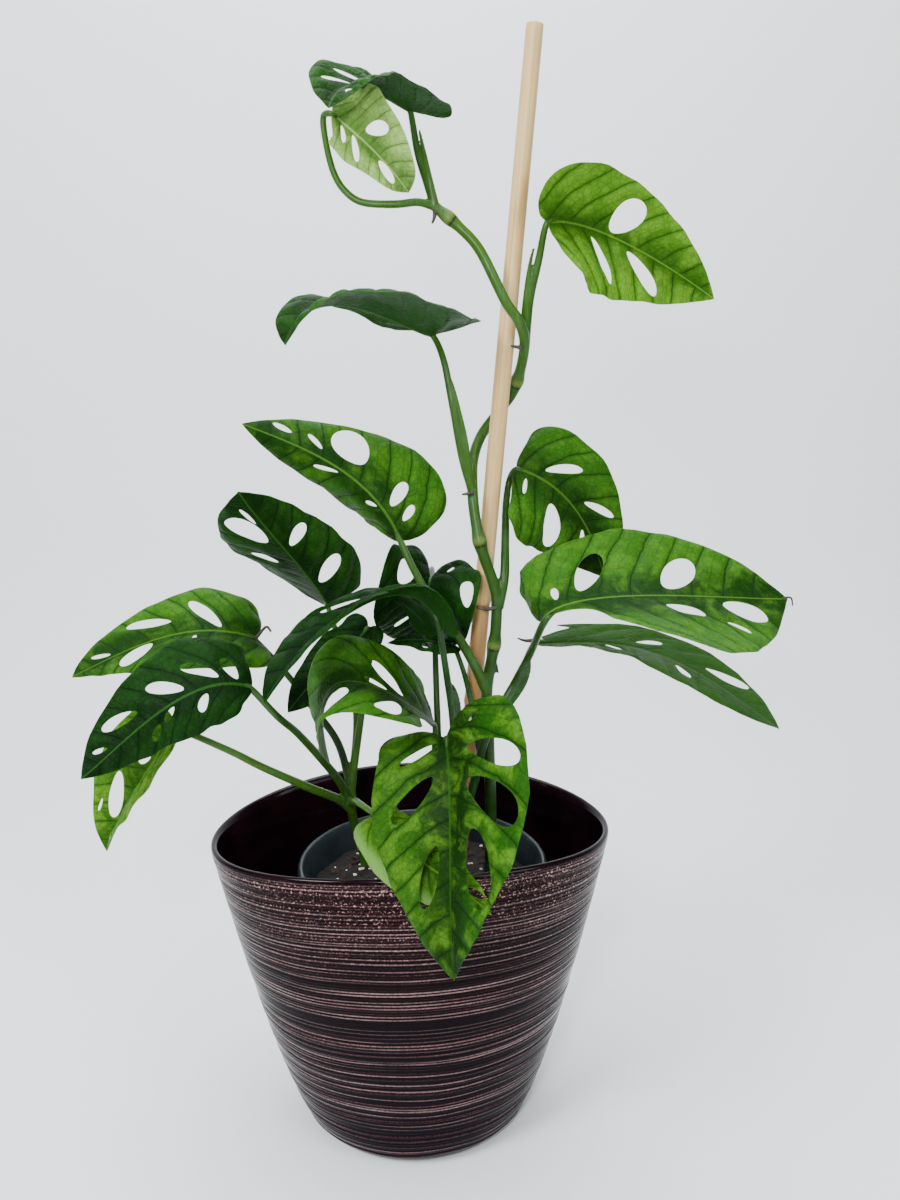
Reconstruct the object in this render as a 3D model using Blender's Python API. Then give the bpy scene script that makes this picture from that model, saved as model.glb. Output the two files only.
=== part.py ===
"""Swiss cheese vine in its nursery pot, climbing a cane, inside an oval ceramic planter.

Lengths are in millimetres and become metres in the meshes. The origin is on the table, under
the middle of the planter's foot. +X is to the right, +Y to the back and +Z up.
"""
import math
from dataclasses import dataclass

import bmesh
import bpy
import numpy as np
from mathutils import Vector
from mathutils.geometry import delaunay_2d_cdt

MM = 0.001
GAP = 0.3

# Planter: a round foot that opens into an oval mouth, with combed ridges round its wall
PLANTER_CENTRE = (1.5, 2.0)
PLANTER_TURN = 5.0
MOUTH_HALF = (110.5, 74.0)
FOOT_HALF = (58.0, 55.0)
MOUTH_HEIGHT = 182.0
MOUTH_DIP = 9.0
FLARE = 0.66
WALL = 4.5
FLOOR = 6.0
FOOT_ROUND = 9.0
RIDGE_COUNT = 10
RIDGE_DEPTH = 1.1
PLANTER_SIDES = 36

# Nursery pot: thin clear plastic with a rolled rim, off centre to the right
POT_CENTRE = (7.0, 2.0)
POT_RIM_RADIUS = 69.5
POT_SQUEEZE = 4.5
POT_RIM_HEIGHT = 155.0
POT_FOOT_RADIUS = 43.0
POT_BASE = FLOOR + GAP
POT_WALL = 1.4
POT_LIP = 2.6
POT_SIDES = 32

SOIL_LEVEL = 142.0
SOIL_DOME = 3.0
ROOTING_DEPTH = 14.0
CANE_CLEARANCE = 0.5
STEM_CLEARANCE = 0.9
BORE_OVERRUN = 6.0
BORE_SIDES = 12

# Cane: a split wooden stake, thicker at its foot
CANE_FOOT = (15.5, 2.2, 28.0)
CANE_TOP = (66.0, -1.0, 577.0)
CANE_RADII = (4.8, 4.1)
CANE_SIDES = 12
CANE_STEP = 60.0

BLADE_THICKNESS = 0.8
STEM_SIDES = 8
PETIOLE_SIDES = 6
STEM_STEP = 11.0
JOINT_SWELL = 0.9
JOINT_REACH = 4.0

GREEN_DARK = (0.030, 0.105, 0.018)
GREEN_MID = (0.070, 0.210, 0.025)
GREEN_BRIGHT = (0.130, 0.340, 0.040)
GREEN_PALE = (0.270, 0.450, 0.110)


@dataclass
class Leaf:
    """A blade: its midrib in the air, its widths, how it folds, and its holes.

    mid: four points that the midrib passes; face: roughly where its upper side looks;
    half: half widths on the left and right; fold: how far each half is lifted, in degrees;
    droop: how far the edges curl back; twist: turn from base to tip, in degrees; lobe: how far
    the base reaches behind the junction, as a share of the length; peak: where it is widest.
    A hole runs from (t, u) near the midrib to (t, u) near the margin and is some mm wide, with
    t along the midrib and u across, negative to the left.
    """
    name: str
    mid: tuple
    face: tuple
    half: tuple
    fold: tuple = (10.0, 10.0)
    droop: float = 2.0
    twist: float = 0.0
    lobe: tuple = (0.06, 0.06)
    peak: float = 0.3
    holes: tuple = ()
    tone: tuple = GREEN_MID


LEAVES = (
    Leaf("leaf_top_arch", ((8, -1, 541), (-4, -12, 545), (-17, -24, 546), (-26, -43, 533)),
         (-0.1, -0.3, 0.95), (22, 21), (22, 30), 1, 10, (0.3, 0.26), 0.5,
         ((0.43, 0.19, 0.57, 0.68, 4), (0.56, 0.12, 0.73, 0.52, 3), (0.72, -0.12, 0.84, -0.4, 3)),
         GREEN_DARK),
    Leaf("leaf_young_pale", ((-27, -17, 536), (-17, -15, 528), (-5, -22, 516), (7, -18, 502)),
         (0.25, -0.94, -0.26), (23, 15), (30, 35), -2, -8, (0.10, 0.0), 0.34,
         ((0.35, -0.2, 0.56, -0.59, 6.5), (0.12, 0.1, 0.29, 0.55, 2.4), (0.26, 0.1, 0.54, 0.7, 3),
          (0.62, 0.1, 0.84, 0.24, 4.5)), GREEN_PALE),
    Leaf("leaf_right_high", ((72, -12, 489), (98, 0, 486), (128, 3, 472), (154, -4, 454)),
         (0.05, -0.99, 0.14), (28, 39), (30, 28), -3, -22, (0.08, 0.02), 0.18,
         ((0.36, -0.08, 0.44, -0.71, 14), (0.26, 0.12, 0.43, 0.69, 5.8), (0.48, 0.1, 0.73, 0.46, 8.5)),
         GREEN_BRIGHT),
    Leaf("leaf_left_high", ((17, -1, 439), (-2, -17, 446), (-29, -34, 452), (-49, -47, 434)),
         (-0.05, 0.05, 1.0), (36, 33), (20, 22), 8, 14, (0.12, 0.08), 0.43,
         ((0.5, 0.2, 0.62, 0.65, 6),),
         GREEN_DARK),
    Leaf("leaf_left_upper", ((0, -22, 340), (-16, -23, 365), (-42, -14, 382), (-78, -10, 397)),
         (-0.57, -0.75, 0.34), (23, 31), (-31, -37), 9, -26, (0.01, 0.03), 0.15,
         ((0.4, 0.3, 0.6, 0.58, 16), (0.77, 0.2, 0.87, 0.25, 3.6), (0.6, 0.15, 0.7, 0.3, 2.8),
          (0.47, -0.1, 0.61, -0.3, 2.8), (0.17, 0.14, 0.21, 0.54, 6.5), (0.08, 0.18, 0.11, 0.44, 4.5),
          (0.21, -0.1, 0.27, -0.3, 3)), GREEN_MID),
    Leaf("leaf_left_middle", ((-42, 17, 297), (-52, -10, 324), (-64, -32, 348), (-73, -52, 369)),
         (-0.3, -0.8, 0.52), (44, 25), (-28, -18), 7, -36, (0.0, 0.0), 0.23,
         ((0.6, -0.17, 0.82, -0.34, 17), (0.76, -0.08, 0.88, -0.12, 3), (0.54, 0.14, 0.59, 0.59, 8.5),
          (0.22, 0.15, 0.31, 0.72, 10), (0.42, -0.26, 0.45, -0.6, 9)), GREEN_DARK),
    Leaf("leaf_far_left_back", ((-80, 4, 283), (-112, -6, 289.5), (-143.5, -8, 281), (-170.5, -20, 270)),
         (-0.15, -0.56, 0.81), (29, 32), (15, 5), 3.5, 0, (0.07, 0.04), 0.26,
         ((0.19, 0.1, 0.36, 0.69, 7.3), (0.45, 0.3, 0.68, 0.51, 6.2), (0.55, -0.08, 0.74, -0.36, 11),
          (0.78, 0.08, 0.87, 0.2, 3), (0.32, -0.09, 0.34, -0.4, 3.5)), GREEN_MID),
    Leaf("leaf_far_left_front", ((-72, -52, 274), (-99, -63, 275), (-127, -68, 256.5), (-149.5, -76, 238)),
         (-0.05, -0.84, 0.54), (17.5, 30), (-10, -3), 5.4, 16, (0.0, 0.0), 0.29,
         ((0.08, 0.1, 0.14, 0.48, 6), (0.17, 0.14, 0.32, 0.53, 5.8), (0.34, 0.12, 0.5, 0.49, 6.5),
          (0.59, 0.23, 0.78, 0.4, 6.8), (0.24, -0.17, 0.31, -0.54, 4.8), (0.42, -0.1, 0.5, -0.3, 3),
          (0.53, -0.27, 0.61, -0.51, 3.4), (0.81, 0.1, 0.88, 0.2, 2.4)), GREEN_DARK),
    Leaf("leaf_far_left_low", ((-117, -29, 245), (-132, -29, 223), (-146, -30, 201), (-156, -35, 180)),
         (-0.65, -0.59, 0.48), (31, 31), (31, 35), 2, -8, (0.06, 0.07), 0.42,
         ((0.5, 0.46, 0.78, 0.14, 9.5), (0.27, 0.12, 0.36, 0.24, 4.5), (0.72, 0.5, 0.8, 0.46, 2),
          (0.3, -0.2, 0.45, -0.7, 7), (0.62, -0.15, 0.76, -0.5, 5)), GREEN_BRIGHT),
    Leaf("leaf_centre_back", ((14, 0, 316), (11, 0, 304), (7, 17, 287), (1, 33, 270)),
         (0.12, -0.83, 0.57), (29, 29), (30, 30), -4, 0, (0.18, 0.2), 0.09,
         ((0.06, 0.35, 0.05, 0.7, 5.2), (0.06, -0.62, 0.09, -0.9, 4), (-0.05, -0.3, -0.09, -0.42, 2.2),
          (0.4, 0.2, 0.55, 0.5, 5), (0.4, -0.2, 0.55, -0.5, 5)), GREEN_DARK),
    Leaf("leaf_centre_arch", ((19, -48, 303), (-6, -54, 320), (-39, -68, 302), (-60, -84, 277)),
         (-0.8, 0.0, 0.6), (15, 38), (18, 14), 3, 32, (0.06, 0.06), 0.3,
         ((0.17, 0.22, 0.24, 0.5, 3), (0.4, 0.25, 0.55, 0.7, 8), (0.3, -0.2, 0.42, -0.65, 6)),
         GREEN_DARK),
    Leaf("leaf_centre_low", ((16, -15, 239), (-6, -46, 268), (-32, -53, 275), (-36, -52, 234)),
         (-0.32, -0.41, 0.86), (38, 35), (8, 8), -2, -10, (-0.3, 0.0), 0.5,
         ((0.31, 0.14, 0.48, 0.56, 9.5), (0.41, 0.08, 0.52, 0.14, 3.5), (0.38, -0.17, 0.51, -0.75, 10),
          (0.6, -0.17, 0.69, -0.6, 12)), GREEN_MID),
    Leaf("leaf_front", ((21, -51, 247), (23, -76, 225), (23, -97, 189), (24, -115, 156)),
         (-0.4, -0.88, 0.25), (47, 40), (18, 14), 2.5, -44, (0.12, 0.06), 0.36,
         ((0.19, 0.2, 0.38, 0.73, 9.5), (0.03, 0.12, 0.12, 0.6, 4.5), (0.48, 0.18, 0.73, 0.38, 9.5),
          (0.23, -0.22, 0.41, -0.9, 15), (0.09, -0.24, 0.2, -0.86, 10.5), (0.42, -0.3, 0.72, -0.55, 18),
          (-0.05, -0.42, -0.02, -0.3, 2.6)), GREEN_MID),
    Leaf("leaf_over_rim", ((-12, -54, 206), (-1, -68, 198), (20, -77, 186), (42, -82, 169)),
         (0.0, -0.85, 0.5), (14, 18), (0, 0), 1, 0, (0.05, 0.05), 0.32,
         ((0.3, -0.2, 0.46, -0.65, 5), (0.3, 0.2, 0.46, 0.6, 4), (0.76, -0.12, 0.9, -0.25, 3.5)),
         GREEN_BRIGHT),
    Leaf("leaf_right_middle", ((59, 12, 371), (76, 13, 363), (94, 19, 344), (108, 24, 310)),
         (0.1, -0.86, 0.5), (33, 34), (7, -8), 2, -34, (0.01, 0.0), 0.25,
         ((0.18, -0.17, 0.37, -0.56, 5), (0.5, -0.2, 0.68, -0.51, 4.2), (0.31, 0.25, 0.58, 0.68, 12),
          (0.08, 0.1, 0.1, 0.34, 2.6), (0.63, 0.08, 0.73, 0.2, 3)), GREEN_MID),
    Leaf("leaf_right_front", ((69, -37, 301), (98, -30, 311), (153, -7, 306), (206, 14, 299)),
         (-0.04, -0.5, 0.86), (51, 55), (-10, 11), -9, -39, (0.03, -0.2), 0.38,
         ((0.09, -0.16, 0.11, -0.36, 4.3), (0.18, -0.19, 0.33, -0.72, 13), (0.5, -0.13, 0.66, -0.5, 16.5),
          (0.45, 0.15, 0.59, 0.26, 8.5), (0.7, 0.1, 0.87, 0.24, 14), (0.66, 0.36, 0.74, 0.47, 5)),
         GREEN_BRIGHT),
    Leaf("leaf_right_low", ((69, 2, 280), (112, -12, 283), (150, -12, 269), (200, -5, 232)),
         (0.39, 0.32, 0.86), (37, 29), (-7, 5), -3.4, 19, (0.03, -0.06), 0.15,
         ((0.35, 0.25, 0.42, 0.48, 6), (0.6, 0.26, 0.76, 0.44, 8), (0.54, -0.2, 0.63, -0.34, 5),
          (0.25, -0.3, 0.38, -0.65, 6)), GREEN_MID),
    Leaf("leaf_shaded_twist", ((-19, -6, 291), (-29, -10, 281), (-42, -14, 270), (-61, -18, 249)),
         (-0.2, -0.8, 0.5), (15, 15), (10, 10), 2, 15, (0.06, 0.06), 0.28,
         ((0.22, 0.2, 0.38, 0.6, 5), (0.3, -0.2, 0.45, -0.6, 5)), GREEN_DARK),
    Leaf("leaf_shaded_strip", ((26, -13, 283), (16, -17, 286), (5, -20, 288), (-8, -22, 287)),
         (-0.07, -0.3, 0.95), (8, 9), (8, 0), 3, 0, (0.06, 0.06), 0.3,
         ((0.3, 0.2, 0.5, 0.6, 4), (0.35, -0.2, 0.52, -0.6, 4)), GREEN_DARK),
)
LEAF = {leaf.name: leaf for leaf in LEAVES}


@dataclass
class Tube:
    """A stem, petiole, sheath or root: points that it passes and its radius at both ends.

    leaf: the blade that it carries, whose junction then ends the route; knots: shares of the
    length where the stem thickens into a joint; seat: how much room is left at the junction.
    """
    points: tuple
    radii: tuple
    leaf: str = ""
    knots: tuple = ()
    sides: int = PETIOLE_SIDES
    step: float = STEM_STEP
    seat: float = 0.3


# Main vine: it winds once round the cane, with five joints
NODE_1, NODE_2, NODE_3 = (43, -8, 256), (48, -10, 305), (36, -6, 362)
NODE_4, NODE_5 = (62, -2, 432), (19, -8, 497)
VINE_MAIN = (
    Tube(((44, -5, SOIL_LEVEL - ROOTING_DEPTH), (45, -7, 180), (44, -8, 225), NODE_1, (47, -9, 284),
          NODE_2, (46, -11, 316), (40, -12, 334), (37, -9.5, 350), NODE_3, (36.5, 4, 376),
          (41, 13, 388), (50, 15, 400), (58, 11, 412), NODE_4, (59, -9, 444), (52, -10.5, 454),
          (40, -10, 477), (30, -9, 488), NODE_5), (3.3, 2.5), knots=(0.27, 0.38, 0.52, 0.75, 0.98),
         sides=STEM_SIDES),
    Tube((NODE_1, (34, -17, 278), (25, -21, 294), (14, -24, 311), (6, -25, 326)), (3.0, 1.7),
         "leaf_left_upper"),
    Tube(((49, -10, 302), (52, -9, 318), (53, 2, 336), (54, 13, 352), (56, 18, 364)), (2.7, 1.7),
         "leaf_right_middle"),
    Tube((NODE_3, (31, -9, 380), (26, -9, 407), (22, -6, 427)), (2.6, 1.6), "leaf_left_high",
         seat=-0.2),
    Tube((NODE_4, (64, -5, 454), (68, -8, 472)), (2.7, 1.6), "leaf_right_high"),
    Tube((NODE_5, (15, -8, 509), (11, -6, 522)), (2.3, 1.5), "leaf_top_arch", seat=-0.2),
    Tube((NODE_5, (11, -9.5, 499), (0, -11, 498), (-15, -11, 499), (-23, -11, 504), (-28, -11, 512),
          (-31, -11, 524), (-32, -11, 536)), (2.0, 1.5), "leaf_young_pale",
         seat=-0.2),
    Tube((NODE_3, (33.4, -9, 380), (29.5, -9, 396), (26.5, -9.5, 412)), (2.2, 0.7)),
    Tube((NODE_4, (62, -4.5, 450), (63.5, -8, 468), (65.5, -11, 478)), (2.4, 0.7)),
    Tube((NODE_5, (16.5, -9, 509), (13.5, -8, 524), (12, -7, 531)), (2.2, 0.7)),
    Tube((NODE_3, (34, -10, 361.5), (30.5, -11, 361)), (1.4, 0.6)),
    Tube((NODE_4, (57.5, -7, 432.5), (55, -8.5, 433)), (1.4, 0.6)),
    Tube((NODE_5, (19, -8, 493), (18, -9, 490)), (1.8, 0.8)),
    Tube((NODE_5, (21.5, -9.5, 493), (23, -10, 491)), (1.4, 0.7)),
)

# Left vine: a short stem near the left of the pot, with a fan of long petioles
NODE_LEFT = (-32, 2, 188)
VINE_LEFT = (
    Tube(((-26, 22, SOIL_LEVEL - ROOTING_DEPTH), (-28, 18, 155), (-31, 9, 172), NODE_LEFT,
          (-31, 2, 202)), (3.0, 2.4), knots=(0.35, 0.85), sides=STEM_SIDES),
    Tube(((-32, 3, 184), (-38, -3, 193), (-52, -14, 205), (-74, -24, 221), (-88, -28, 231),
          (-105, -31, 241)), (2.6, 1.7), "leaf_far_left_low"),
    Tube((NODE_LEFT, (-38, -8, 208), (-53, -31, 241), (-61.5, -45.5, 257)), (2.5, 1.7),
         "leaf_far_left_front"),
    Tube(((-31.5, 2, 196), (-38.5, 7, 222), (-52.5, 7.5, 244), (-64.5, 10, 260)), (2.4, 1.6),
         "leaf_far_left_back"),
    Tube(((-31, 2, 199), (-28, 10, 236), (-33, 15, 266), (-39, 17, 285)), (2.4, 1.5),
         "leaf_left_middle"),
    Tube(((-31, 2, 201), (-26, 6, 232), (-21, 5, 262), (-17.5, 1, 280)), (2.2, 1.4),
         "leaf_shaded_twist"),
    Tube((NODE_LEFT, (-29, -12, 196), (-24, -32, 204)), (2.2, 1.5), "leaf_over_rim"),
)

# Centre vine: a short stem in front of the cane, with a forked branch for the two right leaves
NODE_CENTRE = (22, -22, 168)
FORK = (58, -14, 264)
VINE_CENTRE = (
    Tube(((20, -20, SOIL_LEVEL - ROOTING_DEPTH), (20, -22, 152), NODE_CENTRE), (3.2, 2.8),
         knots=(0.9,), sides=STEM_SIDES),
    Tube((NODE_CENTRE, (30, -16, 188), (36, -12, 207), (41, -17, 231), (50, -16.5, 250), FORK,
          (65, -18, 280)), (2.8, 1.9), "leaf_right_front"),
    Tube((FORK, (63, -9, 272)), (2.2, 1.7), "leaf_right_low"),
    Tube((NODE_CENTRE, (26, -23, 205), (25, -28, 245), (22, -39, 275)), (2.6, 1.6),
         "leaf_centre_arch"),
    Tube((NODE_CENTRE, (16, -21, 195), (15, -16, 222)), (2.4, 1.5), "leaf_centre_low"),
    Tube((NODE_CENTRE, (21, -32, 200), (21, -40, 228)), (2.5, 1.6), "leaf_front"),
    Tube((NODE_CENTRE, (18, -2, 190), (16, 26, 235), (15, 36, 285), (14.5, 22, 315)), (2.4, 1.4),
         "leaf_centre_back"),
    Tube(((39, -15, 224), (36, -15, 245), (31, -15, 268)), (2.0, 1.3), "leaf_shaded_strip"),
)
VINES = {"vine_main": VINE_MAIN, "vine_left": VINE_LEFT, "vine_centre": VINE_CENTRE}


def sweep_points(points, step):
    """Points of a smooth route through the given ones, about a step apart."""
    knots = [2 * Vector(points[0]) - Vector(points[1])]
    knots += [Vector(p) for p in points]
    knots.append(2 * Vector(points[-1]) - Vector(points[-2]))
    route = []
    for a, b, c, d in zip(knots, knots[1:], knots[2:], knots[3:]):
        count = max(1, round((c - b).length / step))
        for i in range(count):
            t = i / count
            route.append(0.5 * (2 * b + (c - a) * t + (2 * a - 5 * b + 4 * c - d) * t * t
                                + (3 * b - a - 3 * c + d) * t ** 3))
    route.append(knots[-2])
    return route


def smooth_outline(points, count):
    """A flat curve through (t, u) points, as an array of count + 1 rows."""
    p = np.array(points, float)
    q = np.vstack([2 * p[0] - p[1], p, 2 * p[-1] - p[-2]])
    x = np.linspace(0, len(p) - 1, count + 1)
    k = np.minimum(x.astype(int), len(p) - 2)
    t = (x - k)[:, None]
    a, b, c, d = q[k], q[k + 1], q[k + 2], q[k + 3]
    return 0.5 * (2 * b + (c - a) * t + (2 * a - 5 * b + 4 * c - d) * t ** 2
                  + (3 * b - a - 3 * c + d) * t ** 3)


def unit(vectors):
    """Vectors scaled to length one, row by row."""
    vectors = np.asarray(vectors, float)
    return vectors / np.linalg.norm(vectors, axis=-1, keepdims=True)


class Blade:
    """The surface of one leaf, as a map from (t, u) to a point in the air."""

    SAMPLES = 40
    FACE_SAMPLE = 14
    TWIST_ORIGIN = 0.3

    def __init__(self, leaf):
        self.leaf = leaf
        s = np.linspace(0, 1, self.SAMPLES)[:, None]
        p = np.array(leaf.mid, float)
        self.rib = (-4.5 * (s - 1 / 3) * (s - 2 / 3) * (s - 1) * p[0]
                    + 13.5 * s * (s - 2 / 3) * (s - 1) * p[1]
                    - 13.5 * s * (s - 1 / 3) * (s - 1) * p[2]
                    + 4.5 * s * (s - 1 / 3) * (s - 2 / 3) * p[3])
        steps = np.linalg.norm(np.diff(self.rib, axis=0), axis=1)
        self.length = steps.sum()
        self.share = np.concatenate([[0], np.cumsum(steps)]) / self.length
        self.along = unit(np.gradient(self.rib, axis=0))
        up = np.zeros_like(self.rib)
        up[self.FACE_SAMPLE] = leaf.face
        order = [(self.FACE_SAMPLE, self.FACE_SAMPLE)]
        order += [(i, i - 1) for i in range(self.FACE_SAMPLE + 1, self.SAMPLES)]
        order += [(i, i + 1) for i in range(self.FACE_SAMPLE - 1, -1, -1)]
        for i, source in order:
            up[i] = unit(up[source] - up[source].dot(self.along[i]) * self.along[i])
        side = np.cross(self.along, up)
        turn = np.radians(leaf.twist) * (self.share - self.TWIST_ORIGIN)[:, None]
        self.side = side * np.cos(turn) + up * np.sin(turn)
        self.up = up * np.cos(turn) - side * np.sin(turn)

    def along_rib(self, values, t):
        """A value of the midrib's samples at the shares t of its length."""
        return np.stack([np.interp(t, self.share, values[:, k]) for k in range(3)], -1)

    def place(self, t, u):
        """Points of the blade's middle surface."""
        t, u = np.asarray(t, float), np.asarray(u, float)
        inside = np.clip(t, 0, 1)
        point = self.along_rib(self.rib, inside)
        point = point + self.along_rib(self.along, inside) * ((t - inside) * self.length)[..., None]
        left = u < 0
        out = np.where(left, self.leaf.half[0], self.leaf.half[1]) * u
        lift = np.radians(np.where(left, self.leaf.fold[0], self.leaf.fold[1]))
        point = point + self.along_rib(self.side, inside) * (out * np.cos(lift))[..., None]
        rise = np.abs(out) * np.sin(lift) - self.leaf.droop * u * u
        return point + self.along_rib(self.up, inside) * rise[..., None]

    def outline(self, count):
        """The blade's edge in (t, u), from the junction round the right half and back."""
        halves = []
        peak = self.leaf.peak
        tail = (1 - peak) / 0.7
        for lobe in self.leaf.lobe:
            shoulder = 0.02 - 0.3 * lobe if lobe >= 0 else 0.1 - lobe
            halves.append(smooth_outline(((0, 0), (-lobe * 0.8, 0.18), (-lobe, 0.48),
                                          (shoulder, 0.8), (peak, 1),
                                          (peak + 0.26 * tail, 0.86), (peak + 0.52 * tail, 0.5),
                                          (peak + 0.64 * tail, 0.2), (1, 0)), count))
        left, right = halves
        left = left[-2:0:-1] * (1, -1)
        return np.vstack([right, left])

    def flat(self, tu):
        """(t, u) as lengths on a flat sheet."""
        tu = np.asarray(tu, float)
        wide = np.where(tu[..., 1] < 0, self.leaf.half[0], self.leaf.half[1])
        return np.stack([tu[..., 0] * self.length, tu[..., 1] * wide], -1)

    def unflat(self, xy):
        """Lengths on the flat sheet as (t, u)."""
        xy = np.asarray(xy, float)
        wide = np.where(xy[..., 1] < 0, self.leaf.half[0], self.leaf.half[1])
        return np.stack([xy[..., 0] / self.length, xy[..., 1] / wide], -1)

    def hole(self, ends, sides):
        """A drop-shaped hole on the flat sheet, pointed at the midrib's end."""
        start, stop = self.flat(ends[:2]), self.flat(ends[2:4])
        axis = unit(stop - start)
        across = np.array([-axis[1], axis[0]])
        size = np.linalg.norm(stop - start)
        ring = []
        for i in range(sides):
            angle = 2 * math.pi * i / sides
            share = 0.5 - 0.5 * math.cos(angle)
            swell = 0.5 * ends[4] * math.sin(angle) * (0.75 + 0.35 * share)
            ring.append(start + axis * size * share + across * swell)
        return np.array(ring)


EDGE_POINTS = 13
HOLE_SIDES = 8
SHEET_STEP = 8.5
EDGE_MARGIN = 3.6


def inside_ring(point, ring):
    """Whether a flat point lies within a closed ring."""
    x, y = point
    hit = False
    for (xa, ya), (xb, yb) in zip(ring, np.roll(ring, -1, axis=0)):
        if (ya > y) != (yb > y) and x < xa + (y - ya) * (xb - xa) / (yb - ya):
            hit = not hit
    return hit


def ring_distance(point, ring):
    """How far a flat point is from the nearest side of a ring."""
    a, b = ring, np.roll(ring, -1, axis=0)
    share = np.clip(((point - a) * (b - a)).sum(1) / ((b - a) ** 2).sum(1), 0, 1)
    return np.linalg.norm(point - a - (b - a) * share[:, None], axis=1).min()


def blade_mesh(leaf):
    """The blade as a sheet of triangles with its holes cut out."""
    blade = Blade(leaf)
    edge = blade.flat(blade.outline(EDGE_POINTS))
    holes = [blade.hole(ends, HOLE_SIDES) for ends in leaf.holes]
    points = [Vector(p) for ring in [edge] + holes for p in ring]
    lines = []
    first = 0
    for ring in [edge] + holes:
        count = len(ring)
        lines += [(first + i, first + (i + 1) % count) for i in range(count)]
        first += count
    low, high = edge.min(axis=0), edge.max(axis=0)
    for row, x in enumerate(np.arange(low[0] + SHEET_STEP / 2, high[0], SHEET_STEP)):
        shift = SHEET_STEP / 2 if row % 2 else 0.0
        for y in np.arange(-shift, high[1], SHEET_STEP):
            for p in {(x, y), (x, -y)}:
                spot = np.array(p)
                if p[1] <= low[1] or not inside_ring(spot, edge):
                    continue
                if min(ring_distance(spot, ring) for ring in [edge] + holes) < EDGE_MARGIN:
                    continue
                if any(inside_ring(spot, ring) for ring in holes):
                    continue
                points.append(Vector(p))
    sheet = delaunay_2d_cdt(points, lines, [], 1, 1e-5)
    flat, faces = np.array([tuple(p) for p in sheet[0]]), sheet[2]
    kept = []
    for face in faces:
        middle = flat[list(face)].mean(axis=0)
        if inside_ring(middle, edge) and not any(inside_ring(middle, ring) for ring in holes):
            kept.append(tuple(face))
    tu = blade.unflat(flat)
    spots = blade.place(tu[:, 0], tu[:, 1]) * MM
    mesh = bpy.data.meshes.new(leaf.name)
    mesh.from_pydata([tuple(p) for p in spots], [], kept)
    work = bmesh.new()
    work.from_mesh(mesh)
    bmesh.ops.delete(work, geom=[v for v in work.verts if not v.link_faces], context="VERTS")
    bmesh.ops.recalc_face_normals(work, faces=work.faces)
    work.to_mesh(mesh)
    work.free()
    return mesh


def finish(name, colour, roughness):
    """A plain material for one sub-part."""
    material = bpy.data.materials.new(name)
    material.use_nodes = True
    shader = material.node_tree.nodes["Principled BSDF"]
    shader.inputs["Base Color"].default_value = (*colour, 1.0)
    shader.inputs["Roughness"].default_value = roughness
    shader.inputs["Metallic"].default_value = 0.0
    material.diffuse_color = (*colour, 1.0)
    return material


def add_object(name, mesh, material=None, smooth=True):
    """An object in the scene that shows the mesh in its material."""
    thing = bpy.data.objects.new(name, mesh)
    bpy.context.scene.collection.objects.link(thing)
    if material:
        mesh.materials.clear()
        mesh.materials.append(material)
    for polygon in mesh.polygons:
        polygon.use_smooth = smooth
    return thing


def apply_modifiers(thing):
    """Bake an object's modifiers into its mesh."""
    graph = bpy.context.evaluated_depsgraph_get()
    baked = bpy.data.meshes.new_from_object(thing.evaluated_get(graph))
    thing.modifiers.clear()
    thing.data = baked


def tidy_mesh(mesh, reach=0.00002):
    """Merge doubled points and turn every face outwards."""
    work = bmesh.new()
    work.from_mesh(mesh)
    bmesh.ops.remove_doubles(work, verts=work.verts, dist=reach)
    bmesh.ops.recalc_face_normals(work, faces=work.faces)
    work.to_mesh(mesh)
    work.free()


def leaf_object(leaf):
    """A leaf blade as a closed sheet of even thickness."""
    thing = add_object(leaf.name, blade_mesh(leaf), finish(leaf.name, leaf.tone, 0.35))
    solid = thing.modifiers.new("Thickness", "SOLIDIFY")
    solid.thickness = BLADE_THICKNESS * MM
    solid.offset = 0.0
    solid.use_even_offset = False
    apply_modifiers(thing)
    return thing


def petiole_end(tube):
    """The tube's points, ended just under the junction of the blade that it carries."""
    points = [Vector(p) for p in tube.points]
    if not tube.leaf:
        return points
    blade = Blade(LEAF[tube.leaf])
    junction, up = Vector(blade.rib[0]), Vector(blade.up[0])
    run = (junction - points[-1]).normalized()
    side = -1.0 if run.dot(up) > -0.15 else 1.0
    reach = BLADE_THICKNESS / 2 + GAP + tube.radii[1] * math.sqrt(max(0.0, 1 - run.dot(up) ** 2))
    lift = max(side * fold for fold in LEAF[tube.leaf].fold + (0.0,))
    return points + [junction + up * side * (reach / math.cos(math.radians(lift)) + tube.seat)]


def tube_object(tube, name, extra=0.0):
    """A round stem along its route, thickened at its joints and closed at both ends."""
    route = sweep_points(petiole_end(tube), tube.step)
    steps = [0.0]
    for a, b in zip(route, route[1:]):
        steps.append(steps[-1] + (b - a).length)
    curve = bpy.data.curves.new(name, "CURVE")
    curve.dimensions = "3D"
    curve.bevel_depth = MM
    curve.bevel_resolution = (tube.sides - 4) // 2
    curve.use_fill_caps = True
    line = curve.splines.new("POLY")
    line.points.add(len(route) - 1)
    for point, place, run in zip(line.points, route, steps):
        share = run / steps[-1]
        radius = tube.radii[0] + (tube.radii[1] - tube.radii[0]) * share
        for knot in tube.knots:
            away = (share - knot) * steps[-1] / JOINT_REACH
            radius += JOINT_SWELL * math.exp(-away ** 2)
        point.co = (*(place * MM), 1.0)
        point.radius = radius + extra
    source = bpy.data.objects.new(name + "_route", curve)
    bpy.context.scene.collection.objects.link(source)
    graph = bpy.context.evaluated_depsgraph_get()
    mesh = bpy.data.meshes.new_from_object(source.evaluated_get(graph))
    bpy.data.objects.remove(source)
    bpy.data.curves.remove(curve)
    tidy_mesh(mesh)
    return add_object(name, mesh)


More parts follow.
